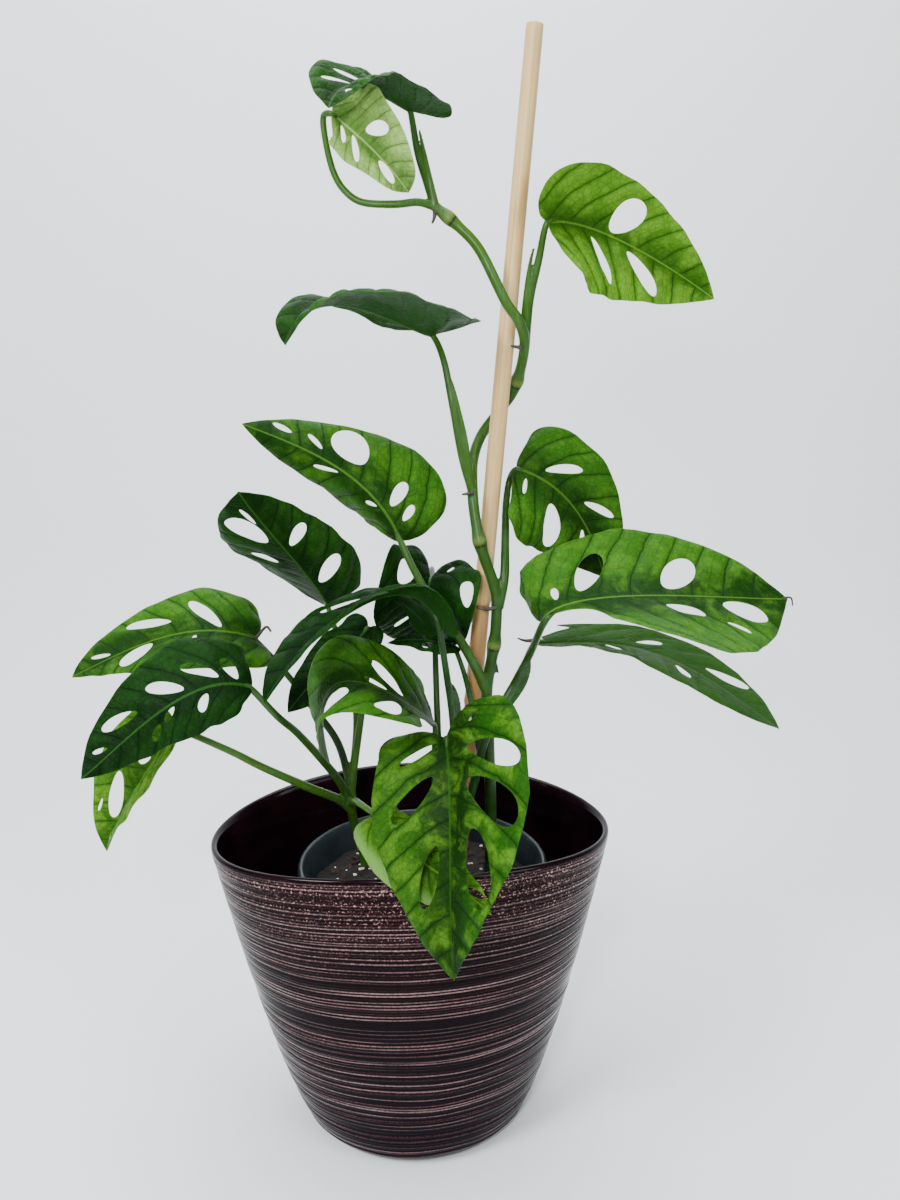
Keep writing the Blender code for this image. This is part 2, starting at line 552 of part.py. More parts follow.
def united(things, name):
    """Several overlapping objects as one, in the first one's place."""
    group = bpy.data.collections.new(name + "_repeats")
    bpy.context.scene.collection.children.link(group)
    for thing in things[1:]:
        bpy.context.scene.collection.objects.unlink(thing)
        group.objects.link(thing)
    union = things[0].modifiers.new("Union", "BOOLEAN")
    union.operation = "UNION"
    union.solver = "EXACT"
    union.operand_type = "COLLECTION"
    union.collection = group
    apply_modifiers(things[0])
    for thing in things[1:]:
        bpy.data.objects.remove(thing)
    bpy.data.collections.remove(group)
    tidy_mesh(things[0].data, 0.000001)
    things[0].name = name
    return things[0]


def vine_object(name, tubes, material):
    """A vine: its stem with the petioles, sheaths and root tips that grow from it."""
    things = [tube_object(tube, f"{name}_{i}") for i, tube in enumerate(tubes)]
    vine = united(things, name)
    vine.data.materials.clear()
    vine.data.materials.append(material)
    return vine


def lofted(name, rings, material):
    """A closed body through rings of points, with a flat face at both ends."""
    work = bmesh.new()
    loops = [[work.verts.new(Vector(p) * MM) for p in ring] for ring in rings]
    for low, high in zip(loops, loops[1:]):
        count = len(low)
        for i in range(count):
            j = (i + 1) % count
            work.faces.new((low[i], low[j], high[j], high[i]))
    work.faces.new(list(reversed(loops[0])))
    work.faces.new(loops[-1])
    bmesh.ops.recalc_face_normals(work, faces=work.faces)
    mesh = bpy.data.meshes.new(name)
    work.to_mesh(mesh)
    work.free()
    return add_object(name, mesh, material)


def planter_half(height):
    """Half width and half depth of the planter's outside at a height."""
    swell = (height / MOUTH_HEIGHT) ** FLARE
    return [foot + (mouth - foot) * swell for foot, mouth in zip(FOOT_HALF, MOUTH_HALF)]


def planter_ring(height, inset, saddle=True):
    """A ring of the planter; the mouth dips at its left and right ends."""
    wide, deep = (half - inset for half in planter_half(height))
    turn = math.radians(PLANTER_TURN)
    ring = []
    for i in range(PLANTER_SIDES):
        angle = 2 * math.pi * i / PLANTER_SIDES
        x, y = wide * math.cos(angle), deep * math.sin(angle)
        dip = MOUTH_DIP * (height / MOUTH_HEIGHT) ** 2 * math.cos(angle) ** 2 if saddle else 0.0
        ring.append((PLANTER_CENTRE[0] + x * math.cos(turn) - y * math.sin(turn),
                     PLANTER_CENTRE[1] + x * math.sin(turn) + y * math.cos(turn), height - dip))
    return ring


def planter_object():
    """The planter: a flat foot, a ridged wall, a rounded rim and a plain inside."""
    rings = [planter_ring(0, FOOT_ROUND), planter_ring(1.6, 4.0, False), planter_ring(5, 1.0, False)]
    low, high = 12.0, MOUTH_HEIGHT - 14.0
    pitch = (high - low) / RIDGE_COUNT
    for i in range(RIDGE_COUNT):
        crest = low + pitch * (i + 0.35 + 0.12 * math.sin(2.1 * i))
        groove = low + pitch * (i + 0.85 + 0.1 * math.sin(1.3 * i))
        depth = RIDGE_DEPTH * (0.75 + 0.25 * math.sin(1.7 * i + 0.5))
        rings += [planter_ring(crest, 0.0), planter_ring(groove, depth)]
    rings += [planter_ring(MOUTH_HEIGHT - 6, 0.2), planter_ring(MOUTH_HEIGHT - 1.6, 0.5),
              planter_ring(MOUTH_HEIGHT, 2.0), planter_ring(MOUTH_HEIGHT - 1.6, WALL - 0.5)]
    for height in (150, 110, 70, 35, 14):
        rings.append(planter_ring(height, WALL))
    rings += [planter_ring(FLOOR + 1.5, WALL + 1.5, False), planter_ring(FLOOR, WALL + 4.5, False)]
    return lofted("planter", rings, finish("planter_glaze", (0.045, 0.014, 0.018), 0.22))


def pot_ring(radius, height, squeeze):
    """A ring of the nursery pot, pressed narrower towards its rim by the planter."""
    deep = radius - squeeze * (height / POT_RIM_HEIGHT) ** 2
    return [(POT_CENTRE[0] + radius * math.cos(2 * math.pi * i / POT_SIDES),
             POT_CENTRE[1] + deep * math.sin(2 * math.pi * i / POT_SIDES), height)
            for i in range(POT_SIDES)]


def pot_radius(height):
    """Radius of the nursery pot's outside below its lip."""
    low, high = POT_BASE, POT_RIM_HEIGHT
    return POT_FOOT_RADIUS + (POT_RIM_RADIUS - POT_LIP - POT_FOOT_RADIUS) * (height - low) / (high - low)


def nursery_pot_object():
    """The thin nursery pot, with its rolled rim."""
    top, base = POT_RIM_HEIGHT, POT_BASE
    shape = [(POT_FOOT_RADIUS - 1.5, base), (pot_radius(base + 3), base + 3), (pot_radius(80), 80),
             (pot_radius(top - 7), top - 7), (POT_RIM_RADIUS - 0.6, top - 6), (POT_RIM_RADIUS, top - 3),
             (POT_RIM_RADIUS - 0.9, top - 0.6), (POT_RIM_RADIUS - 2.2, top),
             (pot_radius(top - 3) - POT_WALL, top - 3), (pot_radius(80) - POT_WALL, 80),
             (pot_radius(base + 5) - POT_WALL, base + 5),
             (pot_radius(base + POT_WALL) - POT_WALL - 1.5, base + POT_WALL)]
    rings = [pot_ring(radius, height, POT_SQUEEZE) for radius, height in shape]
    return lofted("nursery_pot", rings, finish("clear_plastic", (0.30, 0.36, 0.40), 0.3))


def soil_object():
    """The soil, with a plain hole for each stem and for the cane."""
    shape = [(pot_radius(POT_BASE + 5) - POT_WALL - 3.0, POT_BASE + POT_WALL + GAP)]
    for height in (POT_BASE + 7, 80, SOIL_LEVEL - SOIL_DOME):
        shape.append((pot_radius(height) - POT_WALL - 2 * GAP, height))
    shape += [(45.0, SOIL_LEVEL - SOIL_DOME / 3), (24.0, SOIL_LEVEL)]
    rings = [pot_ring(radius, height, POT_SQUEEZE) for radius, height in shape]
    soil = lofted("soil", rings, finish("potting_mix", (0.018, 0.014, 0.012), 0.95))
    cutters = []
    for name, tubes in VINES.items():
        start, above = Vector(tubes[0].points[0]), Vector(tubes[0].points[1])
        run = (above - start).normalized()
        rise = (SOIL_LEVEL + BORE_OVERRUN - start.z) / run.z
        bore = Tube((tuple(start - run * GAP), tuple(start + run * rise)),
                    (tubes[0].radii[0] + STEM_CLEARANCE,) * 2, sides=BORE_SIDES)
        cutters.append(tube_object(bore, name + "_bore"))
    foot, top = Vector(CANE_FOOT), Vector(CANE_TOP)
    run = (top - foot).normalized()
    rise = (SOIL_LEVEL + BORE_OVERRUN - foot.z) / run.z
    bore = Tube((tuple(foot - run * GAP), tuple(foot + run * rise)),
                (CANE_RADII[0] + CANE_CLEARANCE,) * 2, sides=BORE_SIDES)
    cutters.append(tube_object(bore, "cane_bore"))
    for cutter in cutters:
        cutter.hide_render = True
        cutter.display_type = "WIRE"
        cut = soil.modifiers.new("Bore", "BOOLEAN")
        cut.operation = "DIFFERENCE"
        cut.solver = "EXACT"
        cut.object = cutter
    apply_modifiers(soil)
    for cutter in cutters:
        bpy.data.objects.remove(cutter)
    tidy_mesh(soil.data, 0.000001)
    return soil


def cane_object():
    """The cane, a straight stake that tapers a little towards its top."""
    foot, top = Vector(CANE_FOOT), Vector(CANE_TOP)
    tube = Tube((CANE_FOOT, tuple(foot.lerp(top, 0.5)), CANE_TOP), CANE_RADII, sides=CANE_SIDES,
                step=CANE_STEP)
    cane = tube_object(tube, "cane")
    cane.data.materials.append(finish("split_cane", (0.56, 0.38, 0.20), 0.6))
    return cane


def main():
    """Build every sub-part once."""
    for thing in list(bpy.data.objects):
        bpy.data.objects.remove(thing)
    planter_object()
    nursery_pot_object()
    soil_object()
    cane_object()
    stem = finish("vine_green", (0.10, 0.26, 0.07), 0.4)
    for name, tubes in VINES.items():
        vine_object(name, tubes, stem)
    for leaf in LEAVES:
        leaf_object(leaf)


main()
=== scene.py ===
"""Dresses the potted swiss cheese vine for a studio photograph.

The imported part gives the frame. Each leaf, stem, the cane, the soil and both pots get a finer
piece in the same place. Sizes are in millimetres and become metres in the meshes.
"""

import logging
import math
from dataclasses import dataclass
from enum import Enum

import bmesh
import bpy
import numpy as np
from mathutils import Matrix, Vector, noise
from mathutils.kdtree import KDTree


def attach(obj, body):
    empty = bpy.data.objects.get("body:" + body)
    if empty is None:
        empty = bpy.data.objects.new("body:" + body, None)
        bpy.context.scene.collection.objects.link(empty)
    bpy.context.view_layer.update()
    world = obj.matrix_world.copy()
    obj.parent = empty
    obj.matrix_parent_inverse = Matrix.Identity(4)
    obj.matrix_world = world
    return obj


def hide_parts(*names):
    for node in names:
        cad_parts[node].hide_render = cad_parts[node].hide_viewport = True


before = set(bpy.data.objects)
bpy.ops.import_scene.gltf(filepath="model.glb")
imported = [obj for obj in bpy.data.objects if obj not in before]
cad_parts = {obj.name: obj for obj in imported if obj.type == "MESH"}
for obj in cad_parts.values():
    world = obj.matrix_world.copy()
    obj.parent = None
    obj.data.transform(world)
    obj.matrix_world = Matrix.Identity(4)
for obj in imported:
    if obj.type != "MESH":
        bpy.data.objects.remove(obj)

LOG = logging.getLogger("vine")
MM = 0.001
BODY = "root"
SEED = 7
Socket = bpy.types.NodeSocket


def linear(code: str) -> tuple[float, float, float, float]:
    """Turns an sRGB hex code into a linear colour.

    Args:
        code: six hex digits after a hash sign.

    Returns:
        Red, green, blue and an alpha of one.
    """
    parts = [int(code[i:i + 2], 16) / 255 for i in (1, 3, 5)]
    light = [c / 12.92 if c <= 0.04045 else ((c + 0.055) / 1.055) ** 2.4 for c in parts]
    return (light[0], light[1], light[2], 1.0)


class Graph:
    """One material's node tree, with a short call for each kind of node that the finishes use."""

    def __init__(self, name: str) -> None:
        """Makes a material whose tree holds only its output.

        Args:
            name: what the real surface is.
        """
        self.material = bpy.data.materials.new(name)
        self.material.use_nodes = True
        self.tree = self.material.node_tree
        self.tree.nodes.clear()
        self.output = self.node("OutputMaterial")

    def node(self, kind: str, inputs: dict | None = None, **settings: object) -> bpy.types.Node:
        """Adds one shader node.

        Args:
            kind: the node's type without its ShaderNode prefix.
            inputs: by socket name or number, the socket that feeds it, a value or a hex code.
            settings: the node's own properties.

        Returns:
            The new node.
        """
        node = self.tree.nodes.new("ShaderNode" + kind)
        for key, value in settings.items():
            setattr(node, key, value)
        for key, value in (inputs or {}).items():
            if isinstance(value, Socket):
                self.tree.links.new(value, node.inputs[key])
            else:
                value = linear(value) if isinstance(value, str) else value
                node.inputs[key].default_value = value
        return node

    def place(self) -> Socket:
        """Where each point lies on the object, in metres."""
        return self.node("TexCoord").outputs["Object"]

    def height(self) -> Socket:
        """How high each point lies, in metres."""
        return self.node("SeparateXYZ", {0: self.place()}).outputs[2]

    def stored(self, name: str, output: str = "Fac") -> Socket:
        """Reads what the mesh keeps under a name."""
        return self.node("Attribute", attribute_name=name).outputs[output]

    def math(self, operation: str, *values: object, clamp: bool = False) -> Socket:
        """Works out one sum from sockets and numbers."""
        return self.node("Math", dict(enumerate(values)), operation=operation,
                         use_clamp=clamp).outputs[0]

    def part(self, value: Socket, share: float) -> Socket:
        """Takes a share of a value."""
        return self.math("MULTIPLY", value, share)

    def stretch(self, place: Socket, scale: tuple[float, float, float]) -> Socket:
        """Scales a place axis by axis, so that a pattern on it is drawn out."""
        return self.node("Mapping", {"Vector": place, "Scale": scale}).outputs[0]

    def noise(self, place: Socket, scale: float, detail: float, **more: float) -> Socket:
        """Makes clouds that are about 1 / scale across."""
        return self.node("TexNoise", {"Vector": place, "Scale": scale, "Detail": detail,
                                      **more}).outputs[0]

    def span(self, value: Socket, low: float, high: float, start: float = 0.0,
             stop: float = 1.0, smooth: bool = False) -> Socket:
        """Goes from start to stop while the value goes from low to high, and no further."""
        return self.node("MapRange", {"Value": value, "From Min": low, "From Max": high,
                                      "To Min": start, "To Max": stop},
                         interpolation_type="SMOOTHSTEP" if smooth else "LINEAR").outputs[0]

    def rise(self, value: Socket, low: float, high: float) -> Socket:
        """Rises smoothly from 0 at low to 1 at high."""
        return self.span(value, low, high, smooth=True)

    def fall(self, value: Socket, low: float, high: float) -> Socket:
        """Falls smoothly from 1 at low to 0 at high."""
        return self.span(value, low, high, 1.0, 0.0, smooth=True)

    def coat(self, base: str, *layers: tuple[Socket, str]) -> Socket:
        """Lays colours over a first one, each by its own share.

        Args:
            base: the first colour's hex code.
            layers: for each coat its share and its hex code, the lowest first.

        Returns:
            The colour of all coats together.
        """
        for share, colour in layers:
            base = self.node("Mix", {0: share, 6: base, 7: colour}, data_type="RGBA").outputs[2]
        return base

    def finish(self, colour: Socket | str, roughness: Socket | float, more: dict,
               relief: tuple[float, float, Socket] | None = None) -> bpy.types.Material:
        """Ends the tree with the surface itself.

        Args:
            colour: its colour.
            roughness: its roughness.
            more: its other inputs by socket name.
            relief: strength, depth in metres and height of its fine relief.

        Returns:
            The finished material.
        """
        inputs = {"Base Color": colour, "Roughness": roughness, **more}
        if relief:
            bump = dict(zip(("Strength", "Distance", "Height"), relief))
            inputs["Normal"] = self.node("Bump", bump).outputs[0]
        skin = self.node("BsdfPrincipled", inputs)
        self.tree.links.new(skin.outputs[0], self.output.inputs[0])
        return self.material


def new_piece(name: str, work: bmesh.types.BMesh,
              materials: list[bpy.types.Material]) -> bpy.types.Object:
    """Turns a finished bmesh into a smooth object, and frees the bmesh.

    Args:
        name: the object's name.
        work: the mesh in world metres.
        materials: its finishes, in the order of its face indices.

    Returns:
        The new object.
    """
    mesh = bpy.data.meshes.new(name)
    work.to_mesh(mesh)
    work.free()
    for material in materials:
        mesh.materials.append(material)
    mesh.polygons.foreach_set("use_smooth", [True] * len(mesh.polygons))
    thing = bpy.data.objects.new(name, mesh)
    bpy.context.scene.collection.objects.link(thing)
    return thing


def show(name: str, work: bmesh.types.BMesh, materials: list[bpy.types.Material],
         stands_for: tuple[str, ...]) -> bpy.types.Object:
    """Turns a finished bmesh into a piece that rides on the part.

    Args:
        name: the piece's name.
        work: the mesh in world metres; it is freed.
        materials: the piece's finishes, in the order of their face indices.
        stands_for: the CAD nodes that it replaces.

    Returns:
        The new object.
    """
    thing = new_piece(name, work, materials)
    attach(thing, BODY)
    if stands_for:
        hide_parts(*stands_for)
    LOG.info("%s: %d faces", name, len(thing.data.polygons))
    return thing


def keep_value(mesh: bpy.types.Mesh, name: str, values: np.ndarray, domain: str = "POINT") -> None:
    """Stores a number for each point or corner of a mesh, for its material to read."""
    store = mesh.attributes.new(name, "FLOAT", domain)
    store.data.foreach_set("value", np.ascontiguousarray(values, np.float32))


def keep_vector(mesh: bpy.types.Mesh, name: str, values: np.ndarray) -> None:
    """Stores a vector for each point of a mesh, for its material to read."""
    store = mesh.attributes.new(name, "FLOAT_VECTOR", "POINT")
    store.data.foreach_set("vector", np.ascontiguousarray(values, np.float32).ravel())


def unit(vectors: np.ndarray) -> np.ndarray:
    """Scales vectors to length one, row by row."""
    vectors = np.asarray(vectors, float)
    return vectors / np.maximum(np.linalg.norm(vectors, axis=-1, keepdims=True), 1e-12)


def smooth_step(values: np.ndarray, low: float, high: float) -> np.ndarray:
    """Rises smoothly from 0 at low to 1 at high."""
    x = np.clip((np.asarray(values, float) - low) / (high - low), 0, 1)
    return x * x * (3 - 2 * x)


def bell(values: np.ndarray, width: float | np.ndarray) -> np.ndarray:
    """Falls from 1 at zero to about a third at the width, on both sides."""
    return np.exp(-(values / width) ** 2)


def arch(values: np.ndarray, width: float) -> np.ndarray:
    """Falls from 1 at zero to nothing at the width, on both sides."""
    return np.clip(1 - (values / width) ** 2, 0, 1)


def way_along(route: np.ndarray) -> np.ndarray:
    """How far along a route each of its points lies."""
    return np.concatenate([[0], np.cumsum(np.linalg.norm(np.diff(route, axis=0), axis=1))])


def smooth_curve(points: np.ndarray, count: int) -> np.ndarray:
    """Runs a smooth curve through points.

    Args:
        points: rows of coordinates.
        count: how many steps the curve gets in all.

    Returns:
        count + 1 rows, spread evenly over the points' numbers.
    """
    p = np.array(points, float)
    q = np.vstack([2 * p[0] - p[1], p, 2 * p[-1] - p[-2]])
    x = np.linspace(0, len(p) - 1, count + 1)
    k = np.minimum(x.astype(int), len(p) - 2)
    t = (x - k)[:, None]
    a, b, c, d = q[k], q[k + 1], q[k + 2], q[k + 3]
    return 0.5 * (2 * b + (c - a) * t + (2 * a - 5 * b + 4 * c - d) * t ** 2
                  + (3 * b - a - 3 * c + d) * t ** 3)


def even_route(points: np.ndarray, step: float) -> np.ndarray:
    """Spreads points evenly along a smooth route through the given ones.

    Args:
        points: rows of coordinates in mm.
        step: the spacing in mm.

    Returns:
        The new rows, with both ends kept.
    """
    fine = smooth_curve(points, 24 * (len(points) - 1))
    run = way_along(fine)
    marks = np.linspace(0, run[-1], max(2, round(run[-1] / step)) + 1)
    return np.stack([np.interp(marks, run, fine[:, k]) for k in range(fine.shape[1])], -1)


def sweep(route: np.ndarray, radii: np.ndarray, sides: int) -> bmesh.types.BMesh:
    """Extrudes a round section along a route, closed at both ends.

    Args:
        route: points in mm.
        radii: the section's radius at each point, in mm.
        sides: how many sides the section has.

    Returns:
        A new mesh in metres.
    """
    work = bmesh.new()
    ring = bmesh.ops.create_circle(work, cap_ends=True, radius=1.0, segments=sides)
    face = ring["verts"][0].link_faces[0]
    tangents = unit(np.gradient(route, axis=0))
    turn = Vector((0, 0, 1)).rotation_difference(Vector(tangents[0]))
    last = Matrix.Identity(4)
    for i, (place, radius) in enumerate(zip(route, radii)):
        if i:
            turn = Vector(tangents[i - 1]).rotation_difference(Vector(tangents[i])) @ turn
            out = bmesh.ops.extrude_face_region(work, geom=[face])["geom"]
            if i > 1:
                work.faces.remove(face)
            face = next(g for g in out if isinstance(g, bmesh.types.BMFace))
        here = (Matrix.Translation(Vector(place) * MM) @ turn.to_matrix().to_4x4()
                @ Matrix.Scale(float(radius) * MM, 4))
        bmesh.ops.transform(work, matrix=here @ last.inverted(), verts=face.verts)
        last = here
    bmesh.ops.recalc_face_normals(work, faces=work.faces)
    return work


def spun(profile: list[tuple[float, float]], sides: int) -> bmesh.types.BMesh:
    """Spins a section round the z axis into one closed body.

    Args:
        profile: the section's points as (radius, height) in mm.
        sides: how many sides the body has.

    Returns:
        A new mesh, still in mm.
    """
    work = bmesh.new()
    chain = [work.verts.new((radius, 0.0, z)) for radius, z in profile]
    lines = [work.edges.new(pair) for pair in zip(chain, chain[1:])]
    bmesh.ops.spin(work, geom=chain + lines, cent=(0, 0, 0), axis=(0, 0, 1), dvec=(0, 0, 0),
                   angle=2 * math.pi, steps=sides, use_merge=True)
    bmesh.ops.remove_doubles(work, verts=work.verts, dist=0.001)
    bmesh.ops.holes_fill(work, edges=[e for e in work.edges if e.is_boundary], sides=0)
    return work


def spots_of(work: bmesh.types.BMesh) -> np.ndarray:
    """Reads a bmesh's points as rows."""
    return np.array([vert.co for vert in work.verts])


def put(work: bmesh.types.BMesh, spots: np.ndarray) -> None:
    """Moves a bmesh's points to places in mm, which makes it a mesh in metres."""
    for vert, spot in zip(work.verts, spots):
        vert.co = Vector(spot) * MM


def gather(into: bmesh.types.BMesh, other: bmesh.types.BMesh) -> None:
    """Adds one bmesh to another and frees it."""
    mesh = bpy.data.meshes.new("part")
    other.to_mesh(mesh)
    other.free()
    into.from_mesh(mesh)
    bpy.data.meshes.remove(mesh)


# Finishes


@dataclass(frozen=True)
class LeafSkin:
    """A waxy leaf blade: satin gloss, dark side veins with a lighter field between them.

    shade, field and patch are its greens: shade is the darker green of broad clouds and the
    painted shade in the gully by the midrib and beside each side vein; the lighter patches are
    partly painted light; mottle is how strong the patches are, and gloss how much the wax
    reflects.
    """

    name: str
    shade: str
    field: str
    patch: str
    vein: str
    rib: str
    under: str
    mottle: float = 0.6
    roughness: float = 0.44
    gloss: float = 0.05
    pale: str = "#5f8a3f"

    def material(self) -> bpy.types.Material:
        """Builds the blade's material from what its mesh stores about veins and margins."""
        g = Graph(self.name)
        sheet, rib = g.stored("sheet", "Vector"), g.stored("rib")
        # Side veins wander by a tenth of their spacing over some 17 mm
        drift = g.noise(sheet, 60.0, 2.0)
        phase = g.math("MULTIPLY_ADD", drift, 0.34, g.stored("phase"))
        turn = g.math("FRACT", g.math("ADD", phase, 0.33))
        # How far from a field's middle and from the nearest vein, as shares of their spacing
        inward = g.math("ABSOLUTE", g.math("SUBTRACT", turn, 0.5))
        aside = g.math("SUBTRACT", 0.5, inward)
        # The wider of the two is painted shade in the sunken strip beside each side vein
        line, painted_vein_shade = g.fall(aside, 0.0, 0.05), g.fall(aside, 0.0, 0.2)
        thread = g.fall(inward, 0.0, 0.04)
        # Patches of lighter green some 14 mm across, and broad clouds of 40 mm
        cloud = g.noise(sheet, 75.0, 5.0, Roughness=0.65, Distortion=0.6)
        broad = g.noise(sheet, 24.0, 3.0)
        lit = g.rise(cloud, 0.42, 0.7)
        # Net of the finest veins, cells about 3 mm across
        cells = g.node("TexVoronoi", {"Vector": sheet, "Scale": 330.0, "Randomness": 1.0},
                       feature="DISTANCE_TO_EDGE").outputs[0]
        net = g.fall(cells, 0.0, 0.16)
        # Painted shade and light: the blade is painted darker in the gully by the midrib and
        # lighter towards its margin, where more of the patches lie
        outer = g.rise(g.stored("out"), 0.08, 0.75)
        fresh = g.math("MULTIPLY_ADD", broad, 0.6, g.part(outer, 0.75))
        lift = g.math("MULTIPLY_ADD", g.part(outer, 0.55), lit, lit)
        lift = g.math("MULTIPLY_ADD", outer, 0.25, lift)
        # Painted light and shade: glow paints one half of some blades lighter, and darker where it
        # is negative, for how that half faces the light
        lift = g.math("MULTIPLY_ADD", g.stored("glow"), 0.45, lift, clamp=True)
        # Fewer lighter patches in the painted shade beside each vein
        lift = g.math("MULTIPLY", lift, g.math("MULTIPLY_ADD", painted_vein_shade, -0.6, 1.0))
        base = g.coat(self.shade,
                      (g.rise(fresh, 0.25, 0.95), self.field),
                      (g.part(lift, self.mottle), self.patch),
                      (g.part(net, 0.25), self.vein),
                      (g.part(painted_vein_shade, 0.25), self.shade),
                      (g.part(thread, 0.3), self.vein),
                      (g.part(line, 0.7), self.vein),
                      # Painted shade in the gully by the midrib
                      (g.part(g.fall(rib, 1.0, 4.5), 0.45), self.shade),
                      (g.part(g.stored("under"), 0.6), self.under),
                      (g.stored("pale"), self.pale),
                      (g.part(g.fall(rib, 0.35, 0.9), 0.7), self.rib),
                      # The margin is a thin paler line, about 0.5 mm wide, a painted
                      # highlight along the edge
                      (g.part(g.fall(g.stored("margin"), 0.1, 0.6), 0.3), self.rib))
        low = g.math("MULTIPLY_ADD", line, -1.0, g.noise(sheet, 700.0, 2.0))
        low = g.math("MULTIPLY_ADD", net, -0.5, low)
        rough = g.span(cloud, 0.0, 1.0, self.roughness - 0.08, self.roughness + 0.12)
        return g.finish(base, rough, {"IOR": 1.45, "Specular IOR Level": self.gloss},
                        (0.5, 0.0005, low))


@dataclass(frozen=True)
class StemSkin:
    """A living green stem: smooth and satin, streaked along its length, paler at its joints."""

    name: str = "Living stem skin"
    scar: str = "#1c1a0c"
    deep: str = "#0d2907"
    fresh: str = "#3a6015"
    bloom: str = "#41683f"
    joint: str = "#59712f"

    def material(self) -> bpy.types.Material:
        """Builds the stem's material."""
        g = Graph(self.name)
        place = g.place()
        # Streaks are 1 mm wide and some 20 mm long, as the fibres under the skin
        streak = g.noise(g.stretch(place, (900.0, 900.0, 55.0)), 1.0, 3.0)
        base = g.coat(self.deep,
                      (g.stored("tone"), self.fresh),
                      (g.span(g.noise(place, 90.0, 3.0), 0.42, 0.75, 0.0, 0.4), self.bloom),
                      (g.span(streak, 0.35, 0.7, 0.0, 0.35), self.deep),
                      (g.part(g.stored("joint"), 0.75), self.joint),
                      (g.stored("scar"), self.scar))
        return g.finish(base, 0.34, {"IOR": 1.45, "Specular IOR Level": 0.22},
                        (0.3, 0.0003, streak))


@dataclass(frozen=True)
class DryTip:
    """Dried root tips and leaf ends: brown-black, matt and a little ribbed."""

    name: str = "Dried plant tip"
    dark: str = "#1d1a12"
    light: str = "#4a4028"

    def material(self) -> bpy.types.Material:
        """Builds the dried tip's material."""
        g = Graph(self.name)
        grain = g.noise(g.place(), 500.0, 3.0)
        base = g.coat(self.dark, (g.span(grain, 0.4, 0.75), self.light))
        return g.finish(base, 0.6, {}, (0.5, 0.0003, grain))


@dataclass(frozen=True)
class SplitCane:
    """A bamboo cane with its skin on: pale straw, fine long fibres, warmer near its foot."""

    name: str = "Bamboo cane"
    straw: str = "#c9ad78"
    fibre: str = "#a98143"
    foot: str = "#a5743f"
    scar: str = "#4b3018"
    wax: str = "#e6ddcb"

    def material(self) -> bpy.types.Material:
        """Builds the cane's material; its joints' places come from the mesh."""
        g = Graph(self.name)
        # Fibres are 1.4 mm wide and run the length of the cane; weather stains are 40 mm long
        grain = g.stored("grain", "Vector")
        fibre = g.noise(g.stretch(grain, (700.0, 700.0, 5.0)), 1.0, 1.0)
        cloud = g.noise(g.stretch(grain, (110.0, 110.0, 26.0)), 1.0, 2.0)
        streaked = g.math("ADD", g.span(fibre, 0.35, 0.75, 0.0, 0.6),
                          g.span(cloud, 0.45, 0.75, 0.0, 0.6))
        # The lower cane is honey brown, below the joint 300 mm up
        low = g.math("MULTIPLY", g.span(g.height(), 0.27, 0.335, 0.85, 0.0, smooth=True),
                     g.span(cloud, 0.3, 0.7, 0.7, 1.0))
        base = g.coat(self.straw, (streaked, self.fibre), (low, self.foot),
                      (g.stored("wax"), self.wax), (g.stored("scar"), self.scar))
        return g.finish(base, 0.4, {"Specular IOR Level": 0.3}, (0.2, 0.0003, fibre))


@dataclass(frozen=True)
class CombedGlaze:
    """Glazed stoneware, combed while wet: glassy near-black hollows and copper-pink crests."""

    name: str = "Combed aubergine glaze"
    hollow: str = "#0a0205"
    crest: str = "#321419"
    thread: str = "#7f6061"
    painted_glint_colour: str = "#bf9f98"
    blue: str = "#0b080f"

    def material(self) -> bpy.types.Material:
        """Builds the glaze; the mesh says how high each point stands on a crest."""
        g = Graph(self.name)
        place, height = g.place(), g.height()
        fade = g.noise(g.stretch(place, (22.0, 22.0, 160.0)), 1.0, 2.0)
        # Glaze breaks over the crests in specks of about a millimetre
        speck = g.noise(place, 900.0, 1.0)
        cloud = g.noise(place, 28.0, 3.0)
        # The glaze carries more and more copper from 120 mm up
        upper = g.span(height, 0.12, 0.172, 0.0, 0.3)
        rise = g.math("ADD", g.math("MULTIPLY_ADD", cloud, 0.5, g.stored("crest")), upper)
        share = g.math("MULTIPLY", g.rise(rise, 0.45, 1.15), g.span(speck, 0.4, 0.6, 0.25))
        # Bare crests show as threads of pale copper, each under a millimetre wide; their lightness
        # is partly copper glaze and partly a painted reflection along each crest
        drawn = g.math("MULTIPLY", g.rise(g.stored("thread"), 0.3, 0.85),
                       g.span(fade, 0.32, 0.58, 0.35))
        drawn = g.math("MULTIPLY", drawn, g.span(speck, 0.35, 0.6, 0.5))
        # Painted glints: the brightest specks on the upper crests are painted pale
        painted_glints = g.math("MULTIPLY", g.math("MULTIPLY", g.span(speck, 0.58, 0.7), share), upper)
        painted_glints = g.math("MULTIPLY", painted_glints, 2.4, clamp=True)
        # The blue coat towards the foot is a painted reflection of the pale floor, which the lower
        # wall faces
        base = g.coat(self.hollow, (g.span(height, 0.02, 0.12, 0.75, 0.0), self.blue),
                      (share, self.crest), (drawn, self.thread), (painted_glints, self.painted_glint_colour))
        # The bare threads glint, while the hollows stay nearly black
        glint = g.span(drawn, 0.0, 1.0, 0.05, 0.4)
        return g.finish(base, g.span(share, 0.0, 1.0, 0.14, 0.3),
                        {"IOR": 1.5, "Specular IOR Level": glint},
                        (0.5, 0.0004, g.math("MULTIPLY", speck, share)))


